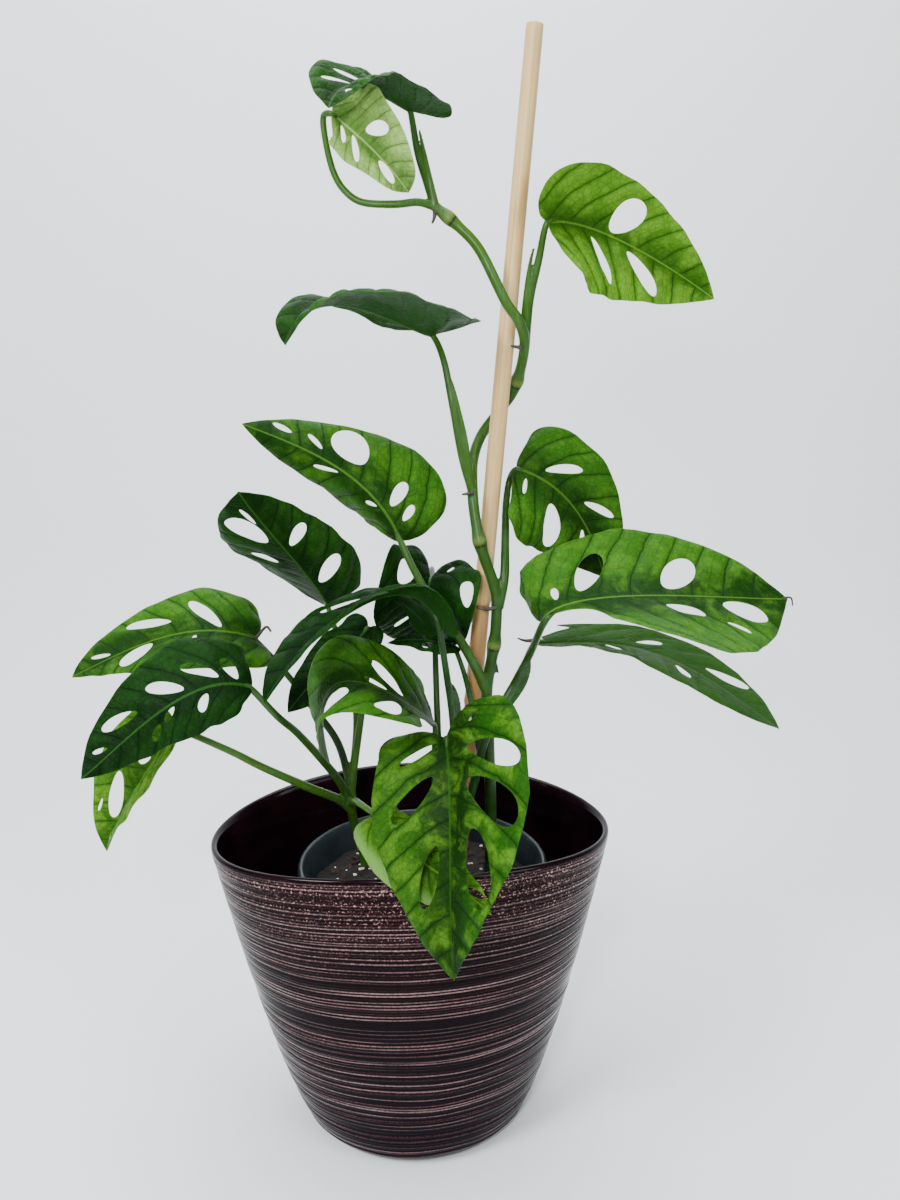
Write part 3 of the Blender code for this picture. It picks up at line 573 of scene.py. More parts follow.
@dataclass(frozen=True)
class SmoothGlaze:
    """The same glaze where it wasn't combed: the lip and the inside, smooth and glassy."""

    name: str = "Smooth aubergine glaze"
    dark: str = "#0e0509"
    light: str = "#190810"

    def material(self) -> bpy.types.Material:
        """Builds the smooth glaze."""
        g = Graph(self.name)
        cloud = g.noise(g.place(), 40.0, 4.0)
        base = g.coat(self.dark, (g.span(cloud, 0.4, 0.7), self.light))
        return g.finish(base, 0.14, {"IOR": 1.5, "Specular IOR Level": 0.15},
                        (0.12, 0.0006, cloud))


@dataclass(frozen=True)
class PotPlastic:
    """Thin moulded polypropylene: cloudy, grey-blue, with a soft gloss on its rolled rim."""

    name: str = "Clear polypropylene"
    clear: str = "#2b363b"
    cloudy: str = "#1a2226"

    def material(self) -> bpy.types.Material:
        """Builds the nursery pot's plastic."""
        g = Graph(self.name)
        cloud = g.noise(g.place(), 60.0, 4.0)
        base = g.coat(self.clear, (g.span(cloud, 0.4, 0.7), self.cloudy))
        return g.finish(base, g.span(cloud, 0.0, 1.0, 0.2, 0.45),
                        {"IOR": 1.49, "Transmission Weight": 0.35})


@dataclass(frozen=True)
class Crumb:
    """A loose matt stuff of small grains, such as potting mix, perlite or bark."""

    name: str
    dark: str
    light: str
    grain: float
    roughness: float = 0.95

    def material(self) -> bpy.types.Material:
        """Builds the material; grain is the size of its crumbs in mm."""
        g = Graph(self.name)
        place = g.place()
        crumbs = g.node("TexVoronoi", {"Vector": place, "Scale": 1000.0 / self.grain}).outputs[0]
        cloud = g.noise(place, 400.0 / self.grain, 5.0)
        base = g.coat(self.dark, (g.span(cloud, 0.42, 0.75), self.light))
        return g.finish(base, self.roughness, {}, (0.8, 0.0006, crumbs))


class Tone(Enum):
    """How green a blade is, with the record's slot and its colours."""

    # The tones are copies of one leaf green: YOUNG is a young leaf's own paler green, and the
    # others are darker and lighter partly by each blade's own tone and partly as painted light and
    # shade; SHADED is painted shade for blades in shadow
    DEEP = ("leaf_dark", "#0a2506", "#163e0e", "#2b5717", "#031303", "#2c5618", "#1b4211", 0.4)
    SHADED = ("leaf_dark", "#031a03", "#0a2a06", "#173f0b", "#020f02", "#204a14", "#14360d", 0.35)
    MID = ("leaf_green", "#0e2e06", "#25540e", "#45731a", "#051d02", "#40671c", "#285215", 0.45)
    FRONT = ("leaf_green", "#0a2504", "#194508", "#4a751a", "#051c02", "#1f4708", "#224a12", 0.7)
    BROAD = ("leaf_bright", "#0e2e05", "#28580f", "#4a7a1c", "#06200a", "#4a7224", "#2a5618", 0.5)
    BRIGHT = ("leaf_bright", "#20460a", "#36660f", "#659526", "#0f3002", "#557c1e", "#36641a", 0.5)
    YOUNG = ("leaf_pale", "#4b722b", "#729748", "#97b764", "#3a5c26", "#91ae65", "#739253", 0.5)

    @property
    def slot(self) -> str:
        """The record's material slot."""
        return self.value[0]

    def skin(self) -> LeafSkin:
        """The blade finish in this tone."""
        return LeafSkin(f"Waxy leaf {self.name.lower()}", *self.value[1:])


# Leaves


@dataclass
class Leaf:
    """A blade: its midrib in the air, its widths, how it folds, and its holes.

    mid: four points that the midrib passes; face: roughly where its upper side looks;
    half: half widths on the left and right; fold: how far each half is lifted, in degrees;
    droop: how far the edges curl back; twist: turn from base to tip, in degrees; lobe: how far
    the base reaches behind the junction, as a share of the length; peak: where it is widest.
    A hole runs from (t, u) near the midrib to (t, u) near the margin and is some mm wide.
    """

    name: str
    mid: tuple
    face: tuple
    half: tuple
    fold: tuple = (10.0, 10.0)
    droop: float = 2.0
    twist: float = 0.0
    lobe: tuple = (0.06, 0.06)
    peak: float = 0.3
    holes: tuple = ()
    tone: Tone = Tone.MID
    pale_side: float = 0.0
    # glow: how much lighter the left and right halves are painted, darker where negative: painted
    # light and shade for how each half faces the light
    glow: tuple = (0.0, 0.0)


LEAVES = (
    Leaf("leaf_top_arch", ((8, -1, 541), (-4, -12, 545), (-17, -24, 546), (-26, -43, 533)),
         (-0.1, -0.3, 0.95), (22, 21), (22, 30), 1, 10, (0.3, 0.26), 0.5,
         ((0.43, 0.19, 0.57, 0.68, 4), (0.56, 0.12, 0.73, 0.52, 3), (0.72, -0.12, 0.84, -0.4, 3)),
         Tone.DEEP),
    Leaf("leaf_young_pale", ((-27, -17, 536), (-17, -15, 528), (-5, -22, 516), (7, -18, 502)),
         (0.25, -0.94, -0.26), (23, 15), (30, 35), -2, -8, (0.10, 0.0), 0.34,
         ((0.35, -0.2, 0.56, -0.59, 6.5), (0.12, 0.1, 0.29, 0.55, 2.4), (0.26, 0.1, 0.54, 0.7, 3),
          (0.62, 0.1, 0.84, 0.24, 4.5)), Tone.YOUNG),
    Leaf("leaf_right_high", ((72, -12, 489), (98, 0, 486), (128, 3, 472), (154, -4, 454)),
         (0.05, -0.99, 0.14), (28, 39), (30, 28), -3, -22, (0.08, 0.02), 0.18,
         ((0.36, -0.08, 0.44, -0.71, 14), (0.26, 0.12, 0.43, 0.69, 5.8),
          (0.48, 0.1, 0.73, 0.46, 8.5)), Tone.BRIGHT, glow=(0.5, 0.9)),
    Leaf("leaf_left_high", ((17, -1, 439), (-2, -17, 446), (-29, -34, 452), (-49, -47, 434)),
         (-0.05, 0.05, 1.0), (36, 33), (20, 22), 8, 14, (0.12, 0.08), 0.43,
         ((0.5, 0.2, 0.62, 0.65, 6),),
         Tone.DEEP),
    Leaf("leaf_left_upper", ((0, -22, 340), (-16, -23, 365), (-42, -14, 382), (-78, -10, 397)),
         (-0.57, -0.75, 0.34), (23, 31), (-31, -37), 9, -26, (0.01, 0.03), 0.15,
         ((0.4, 0.3, 0.6, 0.58, 16), (0.77, 0.2, 0.87, 0.25, 3.6), (0.6, 0.15, 0.7, 0.3, 2.8),
          (0.47, -0.1, 0.61, -0.3, 2.8), (0.17, 0.14, 0.21, 0.54, 6.5),
          (0.08, 0.18, 0.11, 0.44, 4.5), (0.21, -0.1, 0.27, -0.3, 3))),
    Leaf("leaf_left_middle", ((-42, 17, 297), (-52, -10, 324), (-64, -32, 348), (-73, -52, 369)),
         (-0.3, -0.8, 0.52), (44, 25), (-28, -18), 7, -36, (0.0, 0.0), 0.23,
         ((0.6, -0.17, 0.82, -0.34, 17), (0.76, -0.08, 0.88, -0.12, 3),
          (0.54, 0.14, 0.59, 0.59, 8.5), (0.22, 0.15, 0.31, 0.72, 10),
          (0.42, -0.26, 0.45, -0.6, 9)), Tone.DEEP),
    Leaf("leaf_far_left_back", ((-80, 4, 283), (-112, -6, 289.5), (-143.5, -8, 281),
                                (-170.5, -20, 270)),
         (-0.15, -0.56, 0.81), (29, 32), (15, 5), 3.5, 0, (0.07, 0.04), 0.26,
         ((0.19, 0.1, 0.36, 0.69, 7.3), (0.45, 0.3, 0.68, 0.51, 6.2),
          (0.55, -0.08, 0.74, -0.36, 11), (0.78, 0.08, 0.87, 0.2, 3),
          (0.32, -0.09, 0.34, -0.4, 3.5))),
    Leaf("leaf_far_left_front", ((-72, -52, 274), (-99, -63, 275), (-127, -68, 256.5),
                                 (-149.5, -76, 238)),
         (-0.05, -0.84, 0.54), (17.5, 30), (-10, -3), 5.4, 16, (0.0, 0.0), 0.29,
         ((0.08, 0.1, 0.14, 0.48, 6), (0.17, 0.14, 0.32, 0.53, 5.8), (0.34, 0.12, 0.5, 0.49, 6.5),
          (0.59, 0.23, 0.78, 0.4, 6.8), (0.24, -0.17, 0.31, -0.54, 4.8),
          (0.42, -0.1, 0.5, -0.3, 3), (0.53, -0.27, 0.61, -0.51, 3.4),
          (0.81, 0.1, 0.88, 0.2, 2.4)), Tone.SHADED),
    Leaf("leaf_far_left_low", ((-117, -29, 245), (-132, -29, 223), (-146, -30, 201),
                               (-156, -35, 180)),
         (-0.65, -0.59, 0.48), (31, 31), (31, 35), 2, -8, (0.06, 0.07), 0.42,
         ((0.5, 0.46, 0.78, 0.14, 9.5), (0.27, 0.12, 0.36, 0.24, 4.5), (0.72, 0.5, 0.8, 0.46, 2),
          (0.3, -0.2, 0.45, -0.7, 7), (0.62, -0.15, 0.76, -0.5, 5)), Tone.BRIGHT),
    Leaf("leaf_centre_back", ((14, 0, 316), (11, 0, 304), (7, 17, 287), (1, 33, 270)),
         (0.12, -0.83, 0.57), (29, 29), (30, 30), -4, 0, (0.18, 0.2), 0.09,
         ((0.06, 0.35, 0.05, 0.7, 5.2), (0.06, -0.62, 0.09, -0.9, 4),
          (-0.05, -0.3, -0.09, -0.42, 2.2), (0.4, 0.2, 0.55, 0.5, 5),
          (0.4, -0.2, 0.55, -0.5, 5)), Tone.SHADED),
    Leaf("leaf_centre_arch", ((19, -48, 303), (-6, -54, 320), (-39, -68, 302), (-60, -84, 277)),
         (-0.8, 0.0, 0.6), (15, 38), (18, 14), 3, 32, (0.06, 0.06), 0.3,
         ((0.17, 0.22, 0.24, 0.5, 3), (0.4, 0.25, 0.55, 0.7, 8), (0.3, -0.2, 0.42, -0.65, 6)),
         Tone.SHADED),
    Leaf("leaf_centre_low", ((16, -15, 239), (-6, -46, 268), (-32, -53, 275), (-36, -52, 234)),
         (-0.32, -0.41, 0.86), (38, 35), (8, 8), -2, -10, (-0.3, 0.0), 0.5,
         ((0.31, 0.14, 0.48, 0.56, 9.5), (0.41, 0.08, 0.52, 0.14, 3.5),
          (0.38, -0.17, 0.51, -0.75, 10), (0.6, -0.17, 0.69, -0.6, 12))),
    Leaf("leaf_front", ((21, -51, 247), (23, -76, 225), (23, -97, 189), (24, -115, 156)),
         (-0.4, -0.88, 0.25), (47, 40), (18, 14), 2.5, -44, (0.12, 0.06), 0.36,
         ((0.19, 0.2, 0.38, 0.73, 9.5), (0.03, 0.12, 0.12, 0.6, 4.5),
          (0.48, 0.18, 0.73, 0.38, 9.5), (0.23, -0.22, 0.41, -0.9, 15),
          (0.09, -0.24, 0.2, -0.86, 10.5), (0.42, -0.3, 0.72, -0.55, 18),
          (-0.05, -0.42, -0.02, -0.3, 2.6)), Tone.FRONT, glow=(-0.5, 0.1)),
    Leaf("leaf_over_rim", ((-12, -54, 206), (-1, -68, 198), (20, -77, 186), (42, -82, 169)),
         (0.0, -0.85, 0.5), (14, 18), (0, 0), 1, 0, (0.05, 0.05), 0.32,
         ((0.3, -0.2, 0.46, -0.65, 5), (0.3, 0.2, 0.46, 0.6, 4), (0.76, -0.12, 0.9, -0.25, 3.5)),
         Tone.BRIGHT, 1.0),
    Leaf("leaf_right_middle", ((59, 12, 371), (76, 13, 363), (94, 19, 344), (108, 24, 310)),
         (0.1, -0.86, 0.5), (33, 34), (7, -8), 2, -34, (0.01, 0.0), 0.25,
         ((0.18, -0.17, 0.37, -0.56, 5), (0.5, -0.2, 0.68, -0.51, 4.2),
          (0.31, 0.25, 0.58, 0.68, 12), (0.08, 0.1, 0.1, 0.34, 2.6), (0.63, 0.08, 0.73, 0.2, 3))),
    Leaf("leaf_right_front", ((69, -37, 301), (98, -30, 311), (153, -7, 306), (206, 14, 299)),
         (-0.04, -0.5, 0.86), (51, 55), (-10, 11), -9, -39, (0.03, -0.2), 0.38,
         ((0.09, -0.16, 0.11, -0.36, 4.3), (0.18, -0.19, 0.33, -0.72, 13),
          (0.5, -0.13, 0.66, -0.5, 16.5), (0.45, 0.15, 0.59, 0.26, 8.5),
          (0.7, 0.1, 0.87, 0.24, 14), (0.66, 0.36, 0.74, 0.47, 5)), Tone.BROAD),
    Leaf("leaf_right_low", ((69, 2, 280), (112, -12, 283), (150, -12, 269), (200, -5, 232)),
         (0.39, 0.32, 0.86), (37, 29), (-7, 5), -3.4, 19, (0.03, -0.06), 0.15,
         ((0.35, 0.25, 0.42, 0.48, 6), (0.6, 0.26, 0.76, 0.44, 8), (0.54, -0.2, 0.63, -0.34, 5),
          (0.25, -0.3, 0.38, -0.65, 6)), glow=(0.0, 0.8)),
    Leaf("leaf_shaded_twist", ((-19, -6, 291), (-29, -10, 281), (-42, -14, 270), (-61, -18, 249)),
         (-0.2, -0.8, 0.5), (15, 15), (10, 10), 2, 15, (0.06, 0.06), 0.28,
         ((0.22, 0.2, 0.38, 0.6, 5), (0.3, -0.2, 0.45, -0.6, 5)), Tone.SHADED),
    Leaf("leaf_shaded_strip", ((26, -13, 283), (16, -17, 286), (5, -20, 288), (-8, -22, 287)),
         (-0.07, -0.3, 0.95), (8, 9), (8, 0), 3, 0, (0.06, 0.06), 0.3,
         ((0.3, 0.2, 0.5, 0.6, 4), (0.35, -0.2, 0.52, -0.6, 4)), Tone.SHADED),
)


@dataclass
class Blade:
    """One leaf blade: a sheet cut flat with its holes, thickened, then bent into place.

    Lengths are in mm. fold_round: how softly the halves fold at the midrib; passes: how much
    coarser than its final size the net is in each pass; slack: how much too long a line may
    stay; on_line: how near to the midrib a point counts as on it; crease: the angle in radians
    from which an edge stays sharp; margin_reach: how far the distance to the margin is worked
    out; nibbles: height, length and shift of the small waves in the outline; vein_pitch and
    vein_sweep: the side veins' spacing and lean as shares of the length, and vein_bend how they
    curve; bulge: height of the fields between them; ripple and ripples: height and pace of the
    margin's waves; dimple and dimple_size: height and width of its uneven swelling.
    """

    leaf: Leaf
    thickness: float = 0.7
    samples: int = 60
    face_sample: int = 20
    twist_origin: float = 0.3
    fold_round: float = 1.2
    edge_points: int = 64
    hole_sides: int = 28
    rib_step: float = 1.6
    rib_zone: float = 3.0
    fine_edge: float = 1.3
    plain_edge: float = 2.3
    passes: tuple = (12, 6, 3.5, 2, 1.4, 1)
    slack: float = 1.35
    on_line: float = 1e-4
    crease: float = 1.0
    margin_reach: float = 8.0
    nibbles: tuple = ((0.35, 4.1, 2.0), (0.25, 2.3, 1.0))
    vein_pitch: float = 0.13
    vein_sweep: float = 0.24
    vein_bend: float = 1.3
    bulge: float = 1.2
    ripple: float = 0.7
    ripples: float = 21.0
    dimple: float = 0.7
    dimple_size: float = 9.0
    rib_height: float = 1.25
    rib_width: float = 1.5

    def __post_init__(self) -> None:
        """Works out the midrib and the frame that the blade's halves hang on."""
        leaf = self.leaf
        s = np.linspace(0, 1, self.samples)[:, None]
        p = np.array(leaf.mid, float)
        self.spine = (-4.5 * (s - 1 / 3) * (s - 2 / 3) * (s - 1) * p[0]
                      + 13.5 * s * (s - 2 / 3) * (s - 1) * p[1]
                      - 13.5 * s * (s - 1 / 3) * (s - 1) * p[2]
                      + 4.5 * s * (s - 1 / 3) * (s - 2 / 3) * p[3])
        steps = np.linalg.norm(np.diff(self.spine, axis=0), axis=1)
        self.length = steps.sum()
        self.share = np.concatenate([[0], np.cumsum(steps)]) / self.length
        self.along = unit(np.gradient(self.spine, axis=0))
        up = np.zeros_like(self.spine)
        up[self.face_sample] = leaf.face
        order = [(self.face_sample, self.face_sample)]
        order += [(i, i - 1) for i in range(self.face_sample + 1, self.samples)]
        order += [(i, i + 1) for i in range(self.face_sample - 1, -1, -1)]
        for i, source in order:
            up[i] = unit(up[source] - up[source].dot(self.along[i]) * self.along[i])
        side = np.cross(self.along, up)
        turn = np.radians(leaf.twist) * (self.share - self.twist_origin)[:, None]
        self.side = side * np.cos(turn) + up * np.sin(turn)
        self.up = up * np.cos(turn) - side * np.sin(turn)
        self.origins = {sign: self.vein_origins(sign) for sign in (-1, 1)}

    def on_rib(self, values: np.ndarray, t: np.ndarray) -> np.ndarray:
        """Reads the midrib's samples at the shares t of its length."""
        return np.stack([np.interp(t, self.share, values[:, k]) for k in range(3)], -1)

    def place(self, t: np.ndarray, u: np.ndarray) -> np.ndarray:
        """Gives the points of the blade's middle surface, in mm."""
        inside = np.clip(t, 0, 1)
        point = self.on_rib(self.spine, inside)
        point = point + self.on_rib(self.along, inside) * ((t - inside) * self.length)[..., None]
        out = self.half_width(u) * u
        lift = np.radians(np.where(u < 0, *self.leaf.fold))
        point = point + self.on_rib(self.side, inside) * (out * np.cos(lift))[..., None]
        away = np.sqrt(out * out + self.fold_round ** 2) - self.fold_round
        rise = away * np.sin(lift) - self.leaf.droop * u * u
        return point + self.on_rib(self.up, inside) * rise[..., None]

    def normal(self, t: np.ndarray, u: np.ndarray) -> np.ndarray:
        """Gives the directions square to the surface, on the upper side."""
        tiny = 0.004
        ahead = self.place(t + tiny, u) - self.place(t - tiny, u)
        across = self.place(t, u + tiny) - self.place(t, u - tiny)
        return unit(np.cross(across, ahead))

    def half_width(self, u: np.ndarray) -> np.ndarray:
        """The half width on each point's side, in mm."""
        return np.where(np.asarray(u) < 0, *self.leaf.half)

    def edge(self, sign: int) -> np.ndarray:
        """One half's margin on the flat sheet, from the junction to the tip.

        Args:
            sign: -1 for the left half and 1 for the right.

        Returns:
            Rows of x along the midrib and y across it, in mm.
        """
        peak = self.leaf.peak
        half = int(sign > 0)
        lobe = self.leaf.lobe[half]
        # Shares of the length and of the half width, for a blade that is widest at the peak;
        # a lobed base reaches back behind the junction, a plain one is cut off bluntly
        tail = (1 - peak) / 0.7
        shoulder = 0.02 - 0.3 * lobe if lobe >= 0 else 0.1 - lobe
        blunt = 0.04 * float(1 - smooth_step(abs(lobe), 0.0, 0.03))
        tu = smooth_curve(((0, 0), (-lobe * 0.8, 0.18), (blunt * 0.7 - lobe, 0.48),
                           (shoulder + blunt, 0.8), (peak, 1),
                           (peak + 0.26 * tail, 0.86), (peak + 0.52 * tail, 0.5),
                           (peak + 0.64 * tail, 0.2), (1, 0)), self.edge_points)
        x = tu[:, 0] * self.length
        y = tu[:, 1] * self.leaf.half[half]
        wave = sum(tall * np.sin(x / long + shift * sign) for tall, long, shift in self.nibbles)
        y = y + wave * smooth_step(tu[:, 1], 0.3, 0.8)
        return np.stack([x, y * sign], -1)

    def hole(self, ends: tuple) -> np.ndarray:
        """A drop-shaped hole on the flat sheet, pointed at the midrib's end."""
        start = np.array((ends[0] * self.length, ends[1] * self.half_width(ends[1])))
        stop = np.array((ends[2] * self.length, ends[3] * self.half_width(ends[3])))
        size = np.linalg.norm(stop - start)
        axis = (stop - start) / size
        across = np.array([-axis[1], axis[0]])
        angle = 2 * math.pi * np.arange(self.hole_sides) / self.hole_sides
        # It is widest past its middle, as a drop is
        share = 0.5 - 0.5 * np.cos(angle)
        swell = 0.5 * ends[4] * np.sin(angle) * (0.75 + 0.35 * share)
        return start + np.outer(size * share, axis) + np.outer(swell, across)

    def vein_start(self, t: np.ndarray, u: np.ndarray) -> np.ndarray:
        """Where on the midrib the vein through a point begins, as a share of the length."""
        return t - self.vein_sweep * np.abs(u) ** self.vein_bend

    def vein_origins(self, sign: int) -> np.ndarray:
        """Finds where the fields between side veins begin on the midrib, one through each hole.

        Args:
            sign: -1 for the left half and 1 for the right.

        Returns:
            Shares of the length, with each one's number in the second column.
        """
        found = []
        for ends in self.leaf.holes:
            if ends[1] * sign > 0:
                middle = (np.array(ends[:2]) + ends[2:4]) / 2
                found.append(self.vein_start(*middle))
        rows = []
        for origin in sorted(found):
            if not rows:
                rows.append((origin, 0))
            elif origin - rows[-1][0] > 0.6 * self.vein_pitch:
                step = max(1, round((origin - rows[-1][0]) / self.vein_pitch))
                rows.append((origin, rows[-1][1] + step))
        rows = rows or [(0.05, 0)]
        before = (rows[0][0] - 10 * self.vein_pitch, rows[0][1] - 10)
        after = (rows[-1][0] + 10 * self.vein_pitch, rows[-1][1] + 10)
        return np.array([before, *rows, after])

    def phase(self, t: np.ndarray, u: np.ndarray, sign: np.ndarray) -> np.ndarray:
        """Numbers the fields between side veins: whole in their middle, a half on a vein."""
        start = self.vein_start(t, u)
        left, right = self.origins[-1], self.origins[1]
        return np.where(sign < 0, np.interp(start, left[:, 0], left[:, 1]),
                        np.interp(start, right[:, 0], right[:, 1]))

    def flat_sheet(self) -> bmesh.types.BMesh:
        """Cuts the blade flat, with its holes, in even triangles that are finer at the midrib."""
        sheet = bmesh.new()
        for sign in (-1, 1):
            edge = self.edge(sign)
            count = max(6, round(self.length / self.rib_step))
            rib = np.stack([np.linspace(self.length, 0, count + 1), np.zeros(count + 1)], -1)[1:-1]
            rings = [np.vstack([edge, rib])]
            rings += [self.hole(ends) for ends in self.leaf.holes if ends[1] * sign > 0]
            loops = []
            for ring in rings:
                corners = [sheet.verts.new((x, y, 0.0)) for x, y in ring]
                loops += [sheet.edges.new(pair)
                          for pair in zip(corners, corners[1:] + corners[:1])]
            bmesh.ops.triangle_fill(sheet, use_beauty=True, use_dissolve=False, edges=loops,
                                    normal=(0, 0, 1))
        bmesh.ops.remove_doubles(sheet, verts=sheet.verts, dist=0.01)
        for scale in self.passes:
            long = []
            for line in sheet.edges:
                a, b = line.verts
                near = abs(a.co.y + b.co.y) / 2 < self.rib_zone
                limit = self.fine_edge if near else self.plain_edge
                if not line.is_boundary and line.calc_length() > self.slack * scale * limit:
                    long.append(line)
            if long:
                bmesh.ops.subdivide_edges(sheet, edges=long, cuts=1)
            bmesh.ops.triangulate(sheet, faces=sheet.faces)
            inner = [line for line in sheet.edges if not line.is_boundary
                     and max(abs(v.co.y) for v in line.verts) > self.on_line]
            bmesh.ops.beautify_fill(sheet, faces=sheet.faces, edges=inner, method="ANGLE")
            free = [v for v in sheet.verts if not v.is_boundary and abs(v.co.y) > self.on_line]
            bmesh.ops.smooth_vert(sheet, verts=free, factor=0.5, use_axis_x=True,
                                  use_axis_y=True)
        bmesh.ops.recalc_face_normals(sheet, faces=sheet.faces)
        if sum(face.normal.z for face in sheet.faces) < 0:
            bmesh.ops.reverse_faces(sheet, faces=sheet.faces)
        return sheet

    def margin(self, spots: np.ndarray) -> np.ndarray:
        """How far each flat point is from the nearest edge or hole, in mm."""
        rings = [np.vstack([self.edge(1), self.edge(-1)[-2:0:-1]])]
        rings += [self.hole(ends) for ends in self.leaf.holes]
        best = np.full(len(spots), self.margin_reach)
        for ring in rings:
            for a, b in zip(ring, np.roll(ring, -1, axis=0)):
                run = b - a
                share = np.clip(((spots - a) @ run) / max(run @ run, 1e-9), 0, 1)
                best = np.minimum(best, np.linalg.norm(spots - a - share[:, None] * run, axis=1))
        return best

    def relief(self, t: np.ndarray, u: np.ndarray, y: np.ndarray,
               margin: np.ndarray) -> np.ndarray:
        """How far the surface swells between its side veins and waves at its margin, in mm."""
        phase = self.phase(t, u, y)
        # The fields rise beyond the gully by the midrib and are flatter again at the margin
        wide = smooth_step(np.abs(u), 0.02, 0.3) * (1 - 0.7 * smooth_step(np.abs(u), 0.8, 1.0))
        vein = np.abs(2 * (phase - np.round(phase)))
        swell = self.bulge * (1 - vein ** 3) * wide
        swell = swell * smooth_step(margin, 0.0, 3.0)
        wave = self.ripple * np.sin(t * self.ripples + np.sign(y))
        wave = wave * smooth_step(np.abs(u), 0.55, 1.0)
        size = self.dimple_size
        dimple = np.array([noise.noise(Vector((a * self.length / size, b / size, 5.5)))
                           for a, b in zip(t, y)])
        return swell + wave + self.dimple * dimple * wide

    def build(self, finishes: dict[Tone, bpy.types.Material]) -> bpy.types.Object:
        """Makes the finished blade.

        Args:
            finishes: the leaf materials by tone.

        Returns:
            The blade's object, in the place of its CAD node.
        """
        sheet = self.flat_sheet()
        bmesh.ops.solidify(sheet, geom=sheet.faces[:], thickness=self.thickness)
        bmesh.ops.recalc_face_normals(sheet, faces=sheet.faces)
        for line in sheet.edges:
            if line.is_manifold and line.calc_face_angle(0.0) > self.crease:
                line.smooth = False
        flat = spots_of(sheet)
        upper = flat[:, 2] > flat[:, 2].mean()
        x, y = flat[:, 0], flat[:, 1]
        t, u = x / self.length, y / self.half_width(y)
        margin = self.margin(flat[:, :2])
        # The midrib thins towards the tip and stands out below far more than above; the sheet
        # thins at its margin
        thin = np.clip(1 - np.clip(t, 0, 1), 0.12, 1)
        rib = bell(y, self.rib_width * (0.35 + 0.65 * thin)) * thin
        rise = np.where(upper, self.thickness / 2 + 0.25 * self.rib_height * rib,
                        -self.thickness / 2 - self.rib_height * rib)
        rise = rise * (0.35 + 0.65 * smooth_step(margin, 0.0, 1.2))
        spots = self.place(t, u)
        spots += self.normal(t, u) * (self.relief(t, u, y, margin) + rise)[:, None]
        put(sheet, spots)
        if sheet.calc_volume(signed=True) < 0:
            bmesh.ops.reverse_faces(sheet, faces=sheet.faces)
        thing = show("blade" + self.leaf.name[4:], sheet, [finishes[self.leaf.tone]],
                     (self.leaf.name,))
        mesh = thing.data
        keep_value(mesh, "margin", margin)
        keep_value(mesh, "rib", np.abs(y) / (self.rib_width * (0.3 + 0.5 * thin)))
        keep_value(mesh, "out", np.abs(u))
        keep_value(mesh, "under", np.where(upper, 0.0, 1.0))
        # Painted light and shade: one half of some blades is painted lighter, darker where glow is
        # negative, fading in from the midrib
        glow = np.where(y < 0, *self.leaf.glow) * smooth_step(np.abs(u), 0, 0.15)
        keep_value(mesh, "glow", glow)
        keep_value(mesh, "pale", self.leaf.pale_side * smooth_step(u, 0.5, 0.75))
        # Every leaf reads its own layer of the patterns, so that no two look alike
        keep_vector(mesh, "sheet", flat * MM + (0.0, 0.0, 0.05 * LEAVES.index(self.leaf)))
        corners = np.zeros(len(mesh.loops), int)
        mesh.loops.foreach_get("vertex_index", corners)
        sides = np.zeros(len(mesh.loops))
        for polygon in mesh.polygons:
            span = slice(polygon.loop_start, polygon.loop_start + polygon.loop_total)
            sides[span] = y[corners[span]].mean()
        # The shift keeps the numbers positive
        keep_value(mesh, "phase", self.phase(t[corners], u[corners], sides) + 40, "CORNER")
        return thing


# Stems


@dataclass
class Shoot:
    """A stem, petiole, sheath or root: points that it passes and its radius at both ends.

    leaf: the blade that it carries, whose junction then ends the route; knots: shares of the
    length where it thickens into a joint; tone: how fresh its green is, from 0 to 1; ripe: how
    much fresher it is at its end.
    """

    points: tuple
    radii: tuple
    leaf: str = ""
    knots: tuple = ()
    tone: float = 0.6
    ripe: float = 0.0


def wing(points: tuple, spread: tuple, count: int = 4, thin: float = 0.9,
         tone: float = 0.4) -> list[Shoot]:
    """Lays ribs side by side along a petiole, which fuse into its flat sheath.

    Args:
        points: the petiole's own points along the sheath, in mm.
        spread: where the sheath's free edge lies from there at its widest, in mm.
        count: how many ribs there are.
        thin: the ribs' radius in mm.
        tone: how fresh the sheath's green is.

    Returns:
        The ribs as shoots.
    """
    line = even_route(np.array(points, float), 3.0)
    swell = np.sin(np.pi * np.linspace(0.0, 1.0, len(line)) ** 1.6) ** 0.6
    return [Shoot(tuple(map(tuple, line + np.outer(swell, spread) * (k + 1) / count)),
                  (thin, 0.6 * thin), tone=tone) for k in range(count)]


NODE_1, NODE_2, NODE_3 = (43, -8, 256), (48, -10, 305), (36, -6, 362)
NODE_4, NODE_5 = (62, -2, 432), (19, -8, 497)
NODE_LEFT = (-32, 2, 188)
NODE_CENTRE = (22, -22, 168)
FORK = (58, -14, 264)

